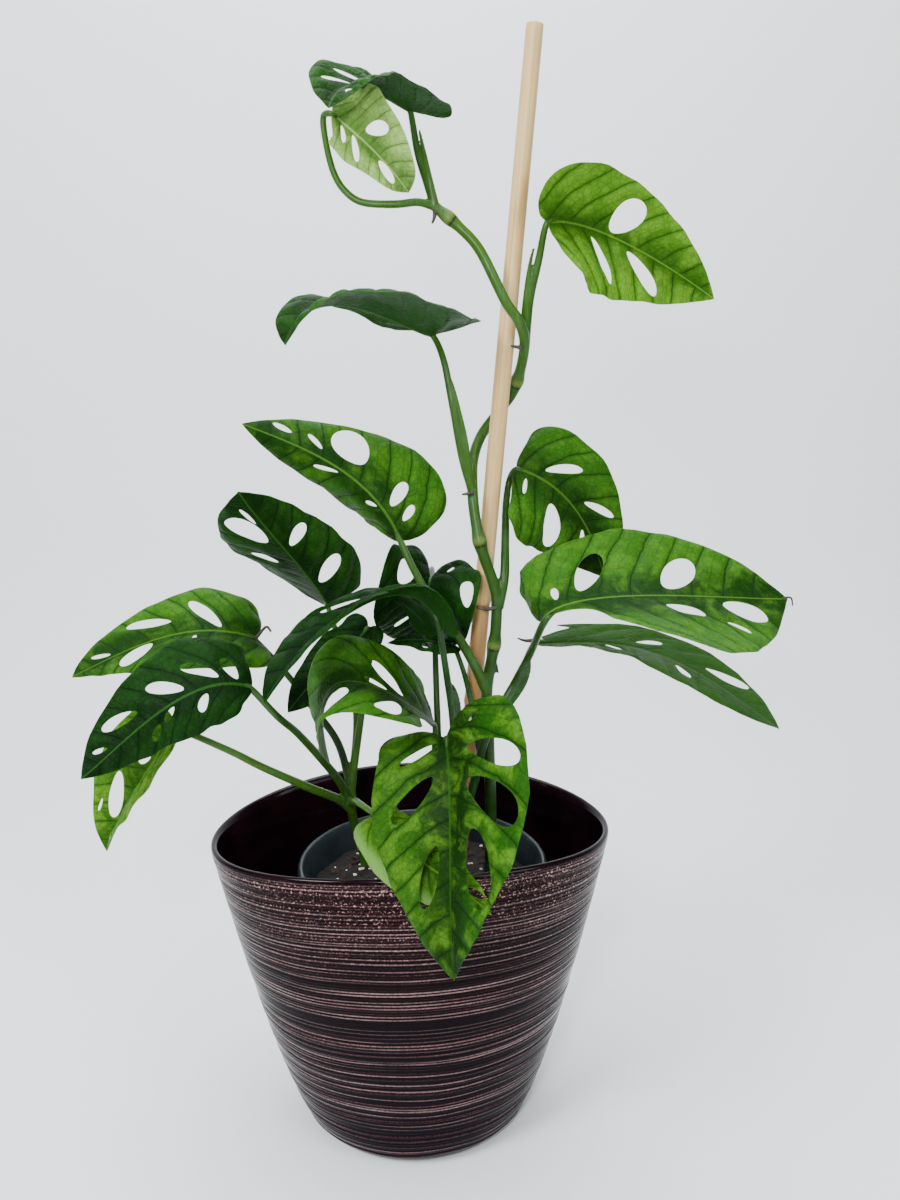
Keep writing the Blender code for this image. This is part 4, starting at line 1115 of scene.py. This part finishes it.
VINE_MAIN = (
    Shoot(((44, -5, 128), (45, -7, 180), (44, -8, 225), NODE_1, (47, -9, 284),
           NODE_2, (46, -11, 316), (40, -12, 334), (37, -9.5, 350), NODE_3, (36.5, 4, 376),
           (41, 13, 388), (50, 15, 400), (58, 11, 412), NODE_4, (59, -9, 444), (52, -10.5, 454),
           (40, -10, 477), (30, -9, 488), NODE_5), (3.3, 2.5),
          knots=(0.27, 0.38, 0.52, 0.75, 0.98), tone=0.05, ripe=0.8),
    Shoot((NODE_1, (34, -17, 278), (25, -21, 294), (14, -24, 311), (6, -25, 326)), (3.0, 1.7),
          "leaf_left_upper"),
    Shoot(((49, -10, 302), (52, -9, 318), (53, 2, 336), (54, 13, 352), (56, 18, 364)), (2.7, 1.7),
          "leaf_right_middle", tone=0.35),
    Shoot((NODE_3, (31, -9, 380), (26, -9, 407), (22, -6, 427)), (2.6, 1.6), "leaf_left_high"),
    Shoot((NODE_4, (64, -5, 454), (68, -8, 472)), (2.7, 1.6), "leaf_right_high"),
    Shoot((NODE_5, (15, -8, 509), (11, -6, 522)), (2.3, 1.5), "leaf_top_arch", tone=0.5),
    Shoot((NODE_5, (11, -9.5, 499), (0, -11, 498), (-15, -11, 499), (-23, -11, 504),
           (-28, -11, 512), (-31, -11, 524), (-32, -11, 536)), (2.0, 1.5), "leaf_young_pale",
          tone=0.8),
    Shoot((NODE_3, (33.4, -9, 380), (29.5, -9, 396), (26.5, -9.5, 412)), (2.2, 0.7), tone=0.7),
    Shoot((NODE_4, (62, -4.5, 450), (63.5, -8, 468), (65.5, -11, 478)), (2.4, 0.7), tone=0.7),
    Shoot((NODE_5, (16.5, -9, 509), (13.5, -8, 524), (12, -7, 531)), (2.2, 0.7), tone=0.7),
    Shoot(((46, -8, 276), (48.2, -8.6, 270), (48.9, -9, 266)), (1.0, 0.5), tone=0.2),
    *wing(((35, -8, 366), (32.5, -9, 385), (28.5, -9, 402), (25.2, -8.6, 418)),
          (1.5, -0.4, 0.4), 3, tone=0.7),
)

VINE_LEFT = (
    Shoot(((-26, 22, 128), (-28, 18, 155), (-31, 9, 172), NODE_LEFT, (-31, 2, 202)),
          (3.0, 2.4), knots=(0.35, 0.85)),
    Shoot(((-32, 3, 184), (-38, -3, 193), (-52, -14, 205), (-74, -24, 221), (-88, -28, 231),
           (-105, -31, 241)), (2.6, 1.7), "leaf_far_left_low", tone=0.9),
    Shoot((NODE_LEFT, (-38, -8, 208), (-53, -31, 241), (-61.5, -45.5, 257)), (2.5, 1.7),
          "leaf_far_left_front", tone=0.4),
    Shoot(((-31.5, 2, 196), (-38.5, 7, 222), (-52.5, 7.5, 244), (-64.5, 10, 260)), (2.4, 1.6),
          "leaf_far_left_back", tone=0.2),
    Shoot(((-31, 2, 199), (-28, 10, 236), (-33, 15, 266), (-39, 17, 285)), (2.4, 1.5),
          "leaf_left_middle", tone=0.9),
    Shoot(((-31, 2, 201), (-26, 6, 232), (-21, 5, 262), (-17.5, 1, 280)), (2.2, 1.4),
          "leaf_shaded_twist", tone=0.9),
    Shoot((NODE_LEFT, (-29, -12, 196), (-24, -32, 204)), (2.2, 1.5), "leaf_over_rim", tone=0.9),
)

VINE_CENTRE = (
    Shoot(((20, -20, 128), (20, -22, 152), NODE_CENTRE), (3.2, 2.8), knots=(0.9,), tone=0.3),
    Shoot((NODE_CENTRE, (30, -16, 188), (36, -12, 207), (41, -17, 231), (50, -16.5, 250), FORK,
           (65, -18, 280)), (2.8, 1.9), "leaf_right_front", tone=0.2),
    Shoot((FORK, (63, -9, 272)), (2.2, 1.7), "leaf_right_low", tone=0.3),
    Shoot((NODE_CENTRE, (26, -23, 205), (25, -28, 245), (22, -39, 275)), (2.6, 1.6),
          "leaf_centre_arch", tone=0.1),
    Shoot((NODE_CENTRE, (16, -21, 195), (15, -16, 222)), (2.4, 1.5), "leaf_centre_low", tone=0.3),
    Shoot((NODE_CENTRE, (21, -32, 200), (21, -40, 228)), (2.5, 1.6), "leaf_front", tone=0.3),
    Shoot((NODE_CENTRE, (18, -2, 190), (16, 26, 235), (15, 36, 285), (14.5, 22, 315)), (2.4, 1.4),
          "leaf_centre_back", tone=0.3),
    Shoot(((39, -15, 224), (36, -15, 245), (31, -15, 268)), (2.0, 1.3), "leaf_shaded_strip",
          tone=0.2),
    *wing(((44, -17, 238), (50, -16.5, 250), FORK, (64, -17, 278)), (4.5, 0, -3), tone=0.15),
    *wing(((26, -24, 222), (25.3, -27, 240), (24.5, -30, 256), (23.5, -34, 270)), (4, 0, 0),
          tone=0.1),
)


@dataclass
class Vine:
    """One stem with the petioles and sheaths that grow from it, fused under one skin.

    voxel: the skin's cell in mm; joint_reach: how long a joint's swelling is, in mm; band and
    scar: half widths of the pale band and of the dark line below it at each joint, in mm;
    overlap: share of a blade that its petiole runs on under, where it tapers by the share taper.
    """

    name: str
    shoots: tuple
    blades: dict
    voxel: float = 0.6
    relax: float = 0.5
    relax_turns: int = 4
    sides: int = 20
    step: float = 0.9
    joint_swell: float = 0.9
    joint_reach: float = 4.0
    band: float = 2.2
    scar: float = 0.7
    scar_drop: float = 2.6
    overlap: float = 0.07
    taper: float = 0.45

    def route(self, shoot: Shoot) -> tuple[np.ndarray, np.ndarray]:
        """The shoot's fine route and radii, run on into the midrib where it carries a blade."""
        points = [np.array(p, float) for p in shoot.points]
        tail = 0.0
        if shoot.leaf:
            blade = self.blades[shoot.leaf]
            junction, up = blade.spine[0], blade.up[0]
            way = unit(junction - points[-1])
            # The petiole runs on under the blade, unless it comes from above
            side = -1.0 if way @ up > -0.15 else 1.0
            seat = 0.5 * shoot.radii[1]
            ahead = blade.place(np.array([self.overlap]), np.array([0.0]))[0]
            points.append(junction + up * side * seat)
            points.append(ahead + up * side * 0.35 * seat)
            tail = self.overlap * blade.length
        path = even_route(np.array(points), self.step)
        run = way_along(path)
        share = np.clip(run / max(run[-1] - tail, 1.0), 0, 1)
        radii = shoot.radii[0] + (shoot.radii[1] - shoot.radii[0]) * share
        for knot in shoot.knots:
            swell = bell((share - knot) * run[-1], self.joint_reach)
            radii = radii + self.joint_swell * swell
        if tail:
            radii = radii * (1 - self.taper * smooth_step(run, run[-1] - tail, run[-1]))
        return path, radii

    def fused(self, tubes: bmesh.types.BMesh) -> bmesh.types.BMesh:
        """Fuses crossing tubes under one closed skin and smooths it; frees the tubes."""
        mesh = bpy.data.meshes.new(self.name)
        tubes.to_mesh(mesh)
        tubes.free()
        source = bpy.data.objects.new(self.name + "_tubes", mesh)
        bpy.context.scene.collection.objects.link(source)
        remesh = source.modifiers.new("Skin", "REMESH")
        remesh.mode = "VOXEL"
        remesh.voxel_size = self.voxel * MM
        relax = source.modifiers.new("Relax", "SMOOTH")
        relax.factor = self.relax
        relax.iterations = self.relax_turns
        graph = bpy.context.evaluated_depsgraph_get()
        grown = bpy.data.meshes.new_from_object(source.evaluated_get(graph))
        work = bmesh.new()
        work.from_mesh(grown)
        bpy.data.objects.remove(source)
        bpy.data.meshes.remove(grown)
        return work

    def build(self, skin: bpy.types.Material) -> bpy.types.Object:
        """Makes the finished vine.

        Args:
            skin: the living stem's material.

        Returns:
            The vine's object, in the place of its CAD node.
        """
        work = bmesh.new()
        marks = []
        for shoot in self.shoots:
            path, radii = self.route(shoot)
            gather(work, sweep(path, radii, self.sides))
            for i, spot in enumerate(path):
                share = i / (len(path) - 1)
                off = min(((share - k) * len(path) * self.step for k in shoot.knots), key=abs,
                          default=99.0)
                marks.append((spot * MM, shoot.tone + shoot.ripe * share,
                              bell(off, self.band), bell(off + self.scar_drop, self.scar)))
        work = self.fused(work)
        tree = KDTree(len(marks))
        for i, mark in enumerate(marks):
            tree.insert(mark[0], i)
        tree.balance()
        found = [marks[tree.find(v.co)[1]] for v in work.verts]
        thing = show("skin_" + self.name, work, [skin], (self.name,))
        for column, name in enumerate(("tone", "joint", "scar"), 1):
            keep_value(thing.data, name, np.array([mark[column] for mark in found]))
        return thing


@dataclass
class DryTips:
    """Aerial root tips at the joints and the dark curled ends of three leaves."""

    routes: tuple = (
        ((36, -9.5, 361.5), (33, -11, 361.2), (30.5, -11, 361), 1.2, 0.5),
        ((61, -5, 432), (57.5, -7, 432.5), (55, -8.5, 433), 1.2, 0.5),
        ((19, -9, 496), (18.5, -9.5, 492), (17.5, -10, 489.5), 1.3, 0.5),
        ((20, -9, 495), (21.5, -9.5, 492.5), (23, -10, 490.5), 1.1, 0.5),
        ((48, -12, 303), (43, -13, 302), (38.5, -11, 302.5), 1.2, 0.7),
        ((203, 13, 300), (208, 15, 299.5), (209.5, 15.5, 295), 0.7, 0.35),
        ((-79, 3, 284), (-73.8, 3, 289.6), (-71.2, 3, 287), 1.0, 0.6),
        ((68, 1, 281), (63, 0, 281.5), (59.5, -0.5, 283), 1.2, 0.4),
    )
    sides: int = 10
    step: float = 0.7

    def build(self, skin: bpy.types.Material) -> bpy.types.Object:
        """Makes the tips as one piece of small closed tubes."""
        work = bmesh.new()
        for *points, thick, thin in self.routes:
            path = even_route(np.array(points, float), self.step)
            gather(work, sweep(path, np.linspace(thick, thin, len(path)), self.sides))
        return show("dry_tips", work, [skin], ())


# Cane


@dataclass
class Cane:
    """The straight bamboo cane, with two joints low down and a sawn top.

    Lengths are in mm. bead and groove: height, place above the joint and half length of the ring
    and of the line at each joint; scarred: strength and half length of the dark line there;
    waxed: strength, drop below the lower joint and half length of the pale bloom.
    """

    foot: tuple = (15.5, 2.2, 28.0)
    top: tuple = (66.0, -1.0, 577.0)
    radii: tuple = (4.8, 4.1)
    joints: tuple = (302.0, 246.0)
    bead: tuple = (0.35, 2.0, 2.5)
    groove: tuple = (-0.3, -1.0, 1.2)
    scarred: tuple = (0.85, 1.0)
    waxed: tuple = (0.8, 6.5, 3.5)
    chamfer: float = 0.35
    sides: int = 40
    step: float = 1.5

    def build(self, skin: bpy.types.Material) -> bpy.types.Object:
        """Makes the cane.

        Args:
            skin: the bamboo material.

        Returns:
            The cane's object, in the place of its CAD node.
        """
        foot, top = np.array(self.foot), np.array(self.top)
        count = round(np.linalg.norm(top - foot) / self.step)
        share = np.linspace(0, 1, count + 1)
        path = foot + (top - foot) * share[:, None]
        radii = self.radii[0] + (self.radii[1] - self.radii[0]) * share
        heights = path[:, 2]
        for joint in self.joints:
            for tall, above, reach in (self.bead, self.groove):
                radii = radii + tall * bell(heights - joint - above, reach)
        radii[-1] -= self.chamfer
        path[-2] = path[-1] - (top - foot) / np.linalg.norm(top - foot) * self.chamfer
        thing = show("bamboo_cane", sweep(path, radii, self.sides), [skin], ("cane",))
        z = np.array([v.co.z for v in thing.data.vertices]) / MM
        dark, line = self.scarred
        scar = sum(bell(z - joint - self.groove[1], line) for joint in self.joints)
        pale, drop, reach = self.waxed
        wax = np.exp(-((z - self.joints[1] + drop) / reach) ** 4)
        lean = Vector(top - foot).rotation_difference(Vector((0, 0, 1)))
        grain = [lean @ (v.co - Vector(foot) * MM) for v in thing.data.vertices]
        keep_vector(thing.data, "grain", np.array(grain))
        keep_value(thing.data, "scar", np.clip(scar, 0, 1) * dark)
        keep_value(thing.data, "wax", wax * pale)
        for polygon in thing.data.polygons:
            if polygon.loop_total > 4:
                polygon.use_smooth = False
        return thing


# Pots and soil


@dataclass
class Planter:
    """The oval ceramic planter: a round foot that opens into an oval mouth with a saddle rim.

    Lengths are in mm and turn is in degrees. dip: how far the rim sinks at its two ends; pitch:
    the wall's rings; gap, swell and tall: the comb marks' spacing, width as a share of it and
    height, and uneven how much of it is left here and there; thread and shine: half width and
    brightness of the pale line along a crest, which is partly bare copper glaze and partly a
    painted reflection; columns: how many times the marks change round the wall; sway: how
    far they wander up and down; proud and sunk: how much of a crest stands out and how deep the
    hollows lie; smooth_bands: middle and half height of the bands that the comb only grazed;
    profile_radius: the round it is spun on at first.
    """

    centre: tuple = (1.5, 2.0)
    turn: float = 5.0
    mouth_half: tuple = (110.5, 74.0)
    foot_half: tuple = (58.0, 55.0)
    height: float = 182.0
    dip: float = 9.0
    flare: float = 0.66
    wall: float = 4.5
    floor: float = 6.0
    foot_round: float = 9.0
    pitch: float = 0.5
    gap: tuple = (1.0, 2.7)
    swell: tuple = (0.35, 0.62)
    tall: tuple = (0.12, 0.5)
    uneven: tuple = (0.45, 1.1)
    grazed: float = 0.2
    thread: float = 0.7
    shine: tuple = (0.1, 1.0)
    columns: int = 4
    sway: float = 0.8
    proud: float = 0.9
    sunk: float = 0.15
    sides: int = 144
    smooth_bands: tuple = ((94.0, 5.5), (57.0, 3.0), (72.0, 1.6))
    profile_radius: float = 100.0

    def half(self, height: np.ndarray) -> list[np.ndarray]:
        """Half width and half depth of the outside at a height."""
        swell = np.clip(height / self.height, 0, 1) ** self.flare
        return [foot + (mouth - foot) * swell
                for foot, mouth in zip(self.foot_half, self.mouth_half)]

    def crests(self) -> tuple[np.ndarray, np.ndarray, np.ndarray]:
        """Draws up the comb's marks: fine heights, columns of relief in mm and of threads."""
        picker = np.random.default_rng(SEED)
        gleam = np.random.default_rng(SEED + 1)
        heights = np.arange(0, self.height + 1, 0.05)
        relief, threads = np.zeros((2, self.columns, len(heights)))
        at = 4.0
        while at < self.height - 1:
            gap = picker.uniform(*self.gap)
            wide = gap * picker.uniform(*self.swell)
            tall = picker.uniform(*self.tall)
            if any(abs(at - middle) < reach for middle, reach in self.smooth_bands):
                tall *= self.grazed
            ridge = arch(heights - at, wide)
            for column in relief:
                np.maximum(column, ridge * tall * picker.uniform(*self.uneven), out=column)
            line = arch(heights - at, self.thread)
            for column in threads:
                np.maximum(column, line * gleam.uniform(*self.shine), out=column)
            at += gap
        return heights, relief, threads

    def profile(self) -> list[tuple[float, float]]:
        """The wall's section as (inset, height), from the foot over the lip to the floor."""
        top = self.height
        outside = [(self.foot_round, 0.0), (6.2, 0.25), (4.0, 1.3), (2.2, 2.8), (1.0, 4.6),
                   (0.3, 6.6)]
        outside += [(0.0, z) for z in np.arange(8.0, top - 2.2, self.pitch)]
        lip = [(0.15, top - 1.6), (0.5, top - 0.8), (1.2, top - 0.2), (2.0, top),
               (2.9, top - 0.3), (3.7, top - 1.3), (4.2, top - 3.0), (self.wall, top - 6.0)]
        inside = [(self.wall, z) for z in np.arange(top - 10.0, 14.0, -6.0)]
        inside += [(self.wall + 0.6, 10.5), (self.wall + 1.8, 8.0), (self.wall + 4.5, self.floor)]
        return outside + lip + inside

    def build(self, combed: bpy.types.Material, smooth: bpy.types.Material) -> bpy.types.Object:
        """Makes the planter.

        Args:
            combed: the glaze on the ridged outside.
            smooth: the glaze on the lip and the inside.

        Returns:
            The planter's object, in the place of its CAD node.
        """
        radius = self.profile_radius
        work = spun([(radius - inset, z) for inset, z in self.profile()], self.sides)
        flat = spots_of(work)
        angle = np.arctan2(flat[:, 1], flat[:, 0])
        inset = radius - np.hypot(flat[:, 0], flat[:, 1])
        z = flat[:, 2]
        heights, relief, threads = self.crests()
        wander = np.array([noise.noise(Vector((math.cos(a) * 2.2, math.sin(a) * 2.2, h / 30)))
                           for a, h in zip(angle, z)])
        turn = (angle / (2 * math.pi) * self.columns) % self.columns
        low = turn.astype(int) % self.columns
        blend = smooth_step(turn - np.floor(turn), 0, 1)
        every = np.arange(len(z))

        def around(columns: np.ndarray) -> np.ndarray:
            """Passes from column to column around the wall."""
            levels = np.stack([np.interp(z + self.sway * wander, heights, column)
                               for column in columns])
            after = levels[(low + 1) % self.columns, every]
            return levels[low, every] * (1 - blend) + after * blend

        crest, thread = around(relief), around(threads)
        outer = (inset < 0.05) & (z > 7)
        crest = np.where(outer, crest * smooth_step(self.height - z, 1.5, 3.5), 0)
        wide, deep = (half - inset + self.proud * crest - self.sunk for half in self.half(z))
        turned = math.radians(self.turn)
        ox, oy = wide * np.cos(angle), deep * np.sin(angle)
        saddle = self.dip * (z / self.height) ** 2 * np.cos(angle) ** 2 * (z > 9)
        spots = np.stack([self.centre[0] + ox * math.cos(turned) - oy * math.sin(turned),
                          self.centre[1] + ox * math.sin(turned) + oy * math.cos(turned),
                          z - saddle], -1)
        put(work, spots)
        # The foot's edge keeps the combed glaze; the lip and the inside are smooth
        for face in work.faces:
            middle = np.mean([inset[v.index] for v in face.verts])
            face.material_index = 1 if middle > 0.25 and face.calc_center_median().z > 0.012 else 0
        bmesh.ops.recalc_face_normals(work, faces=work.faces)
        thing = show("combed_planter", work, [combed, smooth], ("planter",))
        keep_value(thing.data, "crest", crest / self.tall[1])
        keep_value(thing.data, "thread", np.where(outer, thread, 0.0))
        return thing


@dataclass
class NurseryPot:
    """The thin clear pot with a rolled rim, pressed a little oval by the planter."""

    centre: tuple = (7.0, 2.0)
    rim: float = 69.5
    squeeze: float = 4.5
    top: float = 155.0
    foot: float = 43.0
    base: float = 6.3
    wall: float = 1.4
    lip: float = 2.6
    sides: int = 120

    def radius(self, height: float) -> float:
        """Radius of the outside below the lip."""
        share = (height - self.base) / (self.top - self.base)
        return self.foot + (self.rim - self.lip - self.foot) * share

    def round_body(self, profile: list[tuple[float, float]]) -> bmesh.types.BMesh:
        """Spins a section of (radius, height), presses it oval and puts it in place."""
        work = spun(profile, self.sides)
        for vert in work.verts:
            x, y, z = vert.co
            radius = max(math.hypot(x, y), 0.01)
            deep = 1 - self.squeeze * (z / self.top) ** 2 / max(radius, 40.0)
            vert.co = Vector((self.centre[0] + x, self.centre[1] + y * deep, z)) * MM
        bmesh.ops.recalc_face_normals(work, faces=work.faces)
        return work

    def build(self, plastic: bpy.types.Material) -> bpy.types.Object:
        """Makes the pot.

        Args:
            plastic: the clear plastic.

        Returns:
            The pot's object, in the place of its CAD node.
        """
        top, base, rim, wall = self.top, self.base, self.rim, self.wall
        # The foot's edge, the outside, the rolled lip, the inside and the floor's edge
        profile = [(self.foot - 1.5, base), (self.foot - 0.4, base + 0.6), (self.foot, base + 2)]
        profile += [(self.radius(z), z) for z in np.arange(base + 8, top - 9, 8.0)]
        profile += [(self.radius(top - 7.5), top - 7.5), (rim - 1.4, top - 6.6),
                    (rim - 0.4, top - 5.6), (rim, top - 4.2), (rim, top - 2.4),
                    (rim - 0.4, top - 1.0), (rim - 1.2, top - 0.2), (rim - 2.0, top),
                    (rim - 2.7, top - 0.3), (rim - 3.3, top - 1.1)]
        profile += [(self.radius(z) - wall, z) for z in np.arange(top - 4, base + 8, -8.0)]
        profile += [(self.radius(base + 4) - wall, base + 4), (self.foot - 2.6, base + wall)]
        return show("clear_pot", self.round_body(profile), [plastic], ("nursery_pot",))


@dataclass
class Soil:
    """The potting mix in the nursery pot, with crumbs, perlite and bits of bark on top.

    Lengths are in mm. level and dome: height of its middle and how far it falls to its edge at
    the radius half; clods: height, size and shift of its unevenness; sunk: how far the surface
    lies below the solid's; strewn and oval: radius and depth share of the strewn bits' field.
    """

    pot: NurseryPot
    level: float = 142.0
    dome: float = 3.0
    half: float = 60.0
    clods: tuple = ((1.3, 9.0, 3.1), (0.7, 3.1, 7.7))
    sunk: float = 0.6
    gap: float = 0.6
    strewn: float = 58.0
    oval: float = 0.93
    perlite: int = 130
    chips: int = 110

    def surface(self, x: float, y: float) -> float:
        """Height of the soil's top at a place in mm."""
        away = math.hypot(x - self.pot.centre[0], y - self.pot.centre[1])
        rough = sum(tall * noise.noise(Vector((x / size, y / size, shift)))
                    for tall, size, shift in self.clods)
        return self.level - self.dome * (away / self.half) ** 2 + rough - self.sunk

    def build(self, mix: bpy.types.Material) -> bpy.types.Object:
        """Makes the soil's body with its crumbly top."""
        pot = self.pot
        inside = pot.wall + self.gap
        edge = self.level - self.dome
        profile = [(pot.foot - 4.5, pot.base + pot.wall + 0.3), (pot.radius(14) - inside, 14.0)]
        profile += [(pot.radius(z) - inside, z) for z in (50.0, 90.0, 120.0, edge - 2)]
        outer = pot.radius(edge) - inside
        profile += [(radius, edge) for radius in np.arange(outer - 0.4, 0.8, -1.1)]
        work = pot.round_body(profile)
        for vert in work.verts:
            if vert.co.z > (edge - 1) * MM:
                vert.co.z = self.surface(vert.co.x / MM, vert.co.y / MM) * MM
        bmesh.ops.recalc_face_normals(work, faces=work.faces)
        return show("potting_mix", work, [mix], ("soil",))

    def scatter(self, name: str, count: int, sizes: tuple[float, float], squash: float,
                material: bpy.types.Material) -> bpy.types.Object:
        """Strews small bits over the soil.

        Args:
            name: the piece's name.
            count: how many bits there are.
            sizes: the smallest and largest radius in mm.
            squash: a bit's height as a share of its width.
            material: the bits' finish.

        Returns:
            The bits as one object.
        """
        picker = np.random.default_rng(SEED + count)
        work = bmesh.new()
        for _ in range(count):
            size = picker.uniform(*sizes)
            away = self.strewn * math.sqrt(picker.uniform(0, 1))
            way = picker.uniform(0, 2 * math.pi)
            x = self.pot.centre[0] + away * math.cos(way)
            y = self.pot.centre[1] + self.oval * away * math.sin(way)
            verts = bmesh.ops.create_icosphere(work, subdivisions=1, radius=1.0)["verts"]
            for vert in verts:
                vert.co *= picker.uniform(0.8, 1.15)
            tilt = Matrix.Rotation(picker.uniform(0, 6.28), 4, "Z")
            tilt = tilt @ Matrix.Rotation(picker.uniform(-0.5, 0.5), 4, "X")
            stretch = Matrix.Diagonal((size * picker.uniform(1, 1.8), size, size * squash, 1))
            place = Vector((x, y, self.surface(x, y) + 0.3 * size * squash))
            bmesh.ops.transform(work, verts=verts,
                                matrix=Matrix.Scale(MM, 4) @ Matrix.Translation(place)
                                @ tilt @ stretch)
        bmesh.ops.recalc_face_normals(work, faces=work.faces)
        return show(name, work, [material], ())

    def dress(self, perlite: bpy.types.Material, bark: bpy.types.Material) -> None:
        """Adds the perlite grains and the bark chips."""
        self.scatter("perlite", self.perlite, (0.45, 1.3), 0.8, perlite)
        self.scatter("bark_chips", self.chips, (1.0, 2.8), 0.4, bark)


# Studio


@dataclass
class Studio:
    """A pale floor that sweeps up behind, soft lights and the photograph's camera.

    eye is in mm, pitch and roll are in degrees, and backdrop holds (y, z) in metres. Each light
    is a row for light().
    """

    eye: tuple = (24.0, -520.0, 430.0)
    pitch: float = 13.624
    roll: float = -0.6137
    lens: float = 30.6
    sensor: float = 36.0
    paper: str = "#e9edf0"
    backdrop: tuple = ((-3.0, 0), (0.45, 0), (0.55, 0.012), (0.63, 0.05), (0.69, 0.11),
                       (0.72, 0.2), (0.73, 0.35), (0.73, 2.6))
    half_width: float = 2.5
    sky: str = "#eef2f6"
    sky_strength: float = 0.17
    lights: tuple = (
        ("key", (-0.95, -0.85, 1.2), (0.0, 0.0, 0.28), 0.5, 27.0),
        ("flash", (-0.06, -0.62, 0.56), (0.0, 0.0, 0.22), 0.08, 3.5),
        ("fill", (1.0, -0.9, 0.75), (0.0, 0.0, 0.25), 0.7, 9.0),
        ("top", (0.1, -0.35, 1.6), (0.0, 0.0, 0.2), 0.9, 11.0),
        ("back", (0.0, 0.2, 1.5), (0.0, 0.75, 0.35), 0.9, 19.0),
    )

    def floor(self) -> None:
        """Makes the floor and its backdrop."""
        work = bmesh.new()
        chain = [work.verts.new((-self.half_width, y, z)) for y, z in self.backdrop]
        lines = [work.edges.new(pair) for pair in zip(chain, chain[1:])]
        out = bmesh.ops.extrude_edge_only(work, edges=lines)["geom"]
        moved = [g for g in out if isinstance(g, bmesh.types.BMVert)]
        bmesh.ops.translate(work, verts=moved, vec=(2 * self.half_width, 0, 0))
        bmesh.ops.recalc_face_normals(work, faces=work.faces)
        paper = Graph("Pale paper").finish(self.paper, 0.7, {})
        new_piece("studio_floor", work, [paper])

    def light(self, name: str, place: tuple, aim: tuple, size: float, power: float) -> None:
        """Adds a square softbox.

        Args:
            name: what it is for.
            place: where it stands, in metres.
            aim: where it points, in metres.
            size: its side in metres.
            power: in watts.
        """
        lamp = bpy.data.lights.new(name, "AREA")
        lamp.size = size
        lamp.energy = power
        thing = bpy.data.objects.new(name, lamp)
        thing.location = place
        way = Vector(aim) - Vector(place)
        thing.rotation_euler = way.to_track_quat("-Z", "Y").to_euler()
        bpy.context.scene.collection.objects.link(thing)

    def build(self) -> None:
        """Sets up the floor, the lights, the surrounding light and the camera."""
        self.floor()
        for row in self.lights:
            self.light(*row)
        world = bpy.data.worlds.new("studio")
        world.use_nodes = True
        glow = world.node_tree.nodes["Background"].inputs
        glow[0].default_value = linear(self.sky)
        glow[1].default_value = self.sky_strength
        bpy.context.scene.world = world
        data = bpy.data.cameras.new("camera")
        data.lens = self.lens
        data.sensor_width = self.sensor
        camera = bpy.data.objects.new("camera", data)
        camera.matrix_world = (Matrix.Translation(Vector(self.eye) * MM)
                               @ Matrix.Rotation(math.radians(90 - self.pitch), 4, "X")
                               @ Matrix.Rotation(math.radians(self.roll), 4, "Z"))
        bpy.context.scene.collection.objects.link(camera)
        bpy.context.scene.camera = camera


def main() -> None:
    """Builds every piece of the plant and its studio."""
    logging.basicConfig(level=logging.INFO, format="%(name)s %(message)s")
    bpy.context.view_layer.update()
    Studio().build()
    Planter().build(CombedGlaze().material(), SmoothGlaze().material())
    pot = NurseryPot()
    pot.build(PotPlastic().material())
    soil = Soil(pot)
    soil.build(Crumb("Potting mix", "#070605", "#1e1712", 1.6).material())
    soil.dress(Crumb("Perlite", "#c9c6c0", "#f2f0ec", 0.8, 0.8).material(),
               Crumb("Composted bark", "#1a110b", "#3d281a", 1.2).material())
    Cane().build(SplitCane().material())
    blades = {leaf.name: Blade(leaf) for leaf in LEAVES}
    skin = StemSkin().material()
    for name, shoots in (("vine_main", VINE_MAIN), ("vine_left", VINE_LEFT),
                         ("vine_centre", VINE_CENTRE)):
        Vine(name, shoots, blades).build(skin)
    DryTips().build(DryTip().material())
    finishes = {tone: tone.skin().material() for tone in Tone}
    for blade in blades.values():
        blade.build(finishes)
    bpy.context.view_layer.update()


if __name__ == "__main__":
    main()
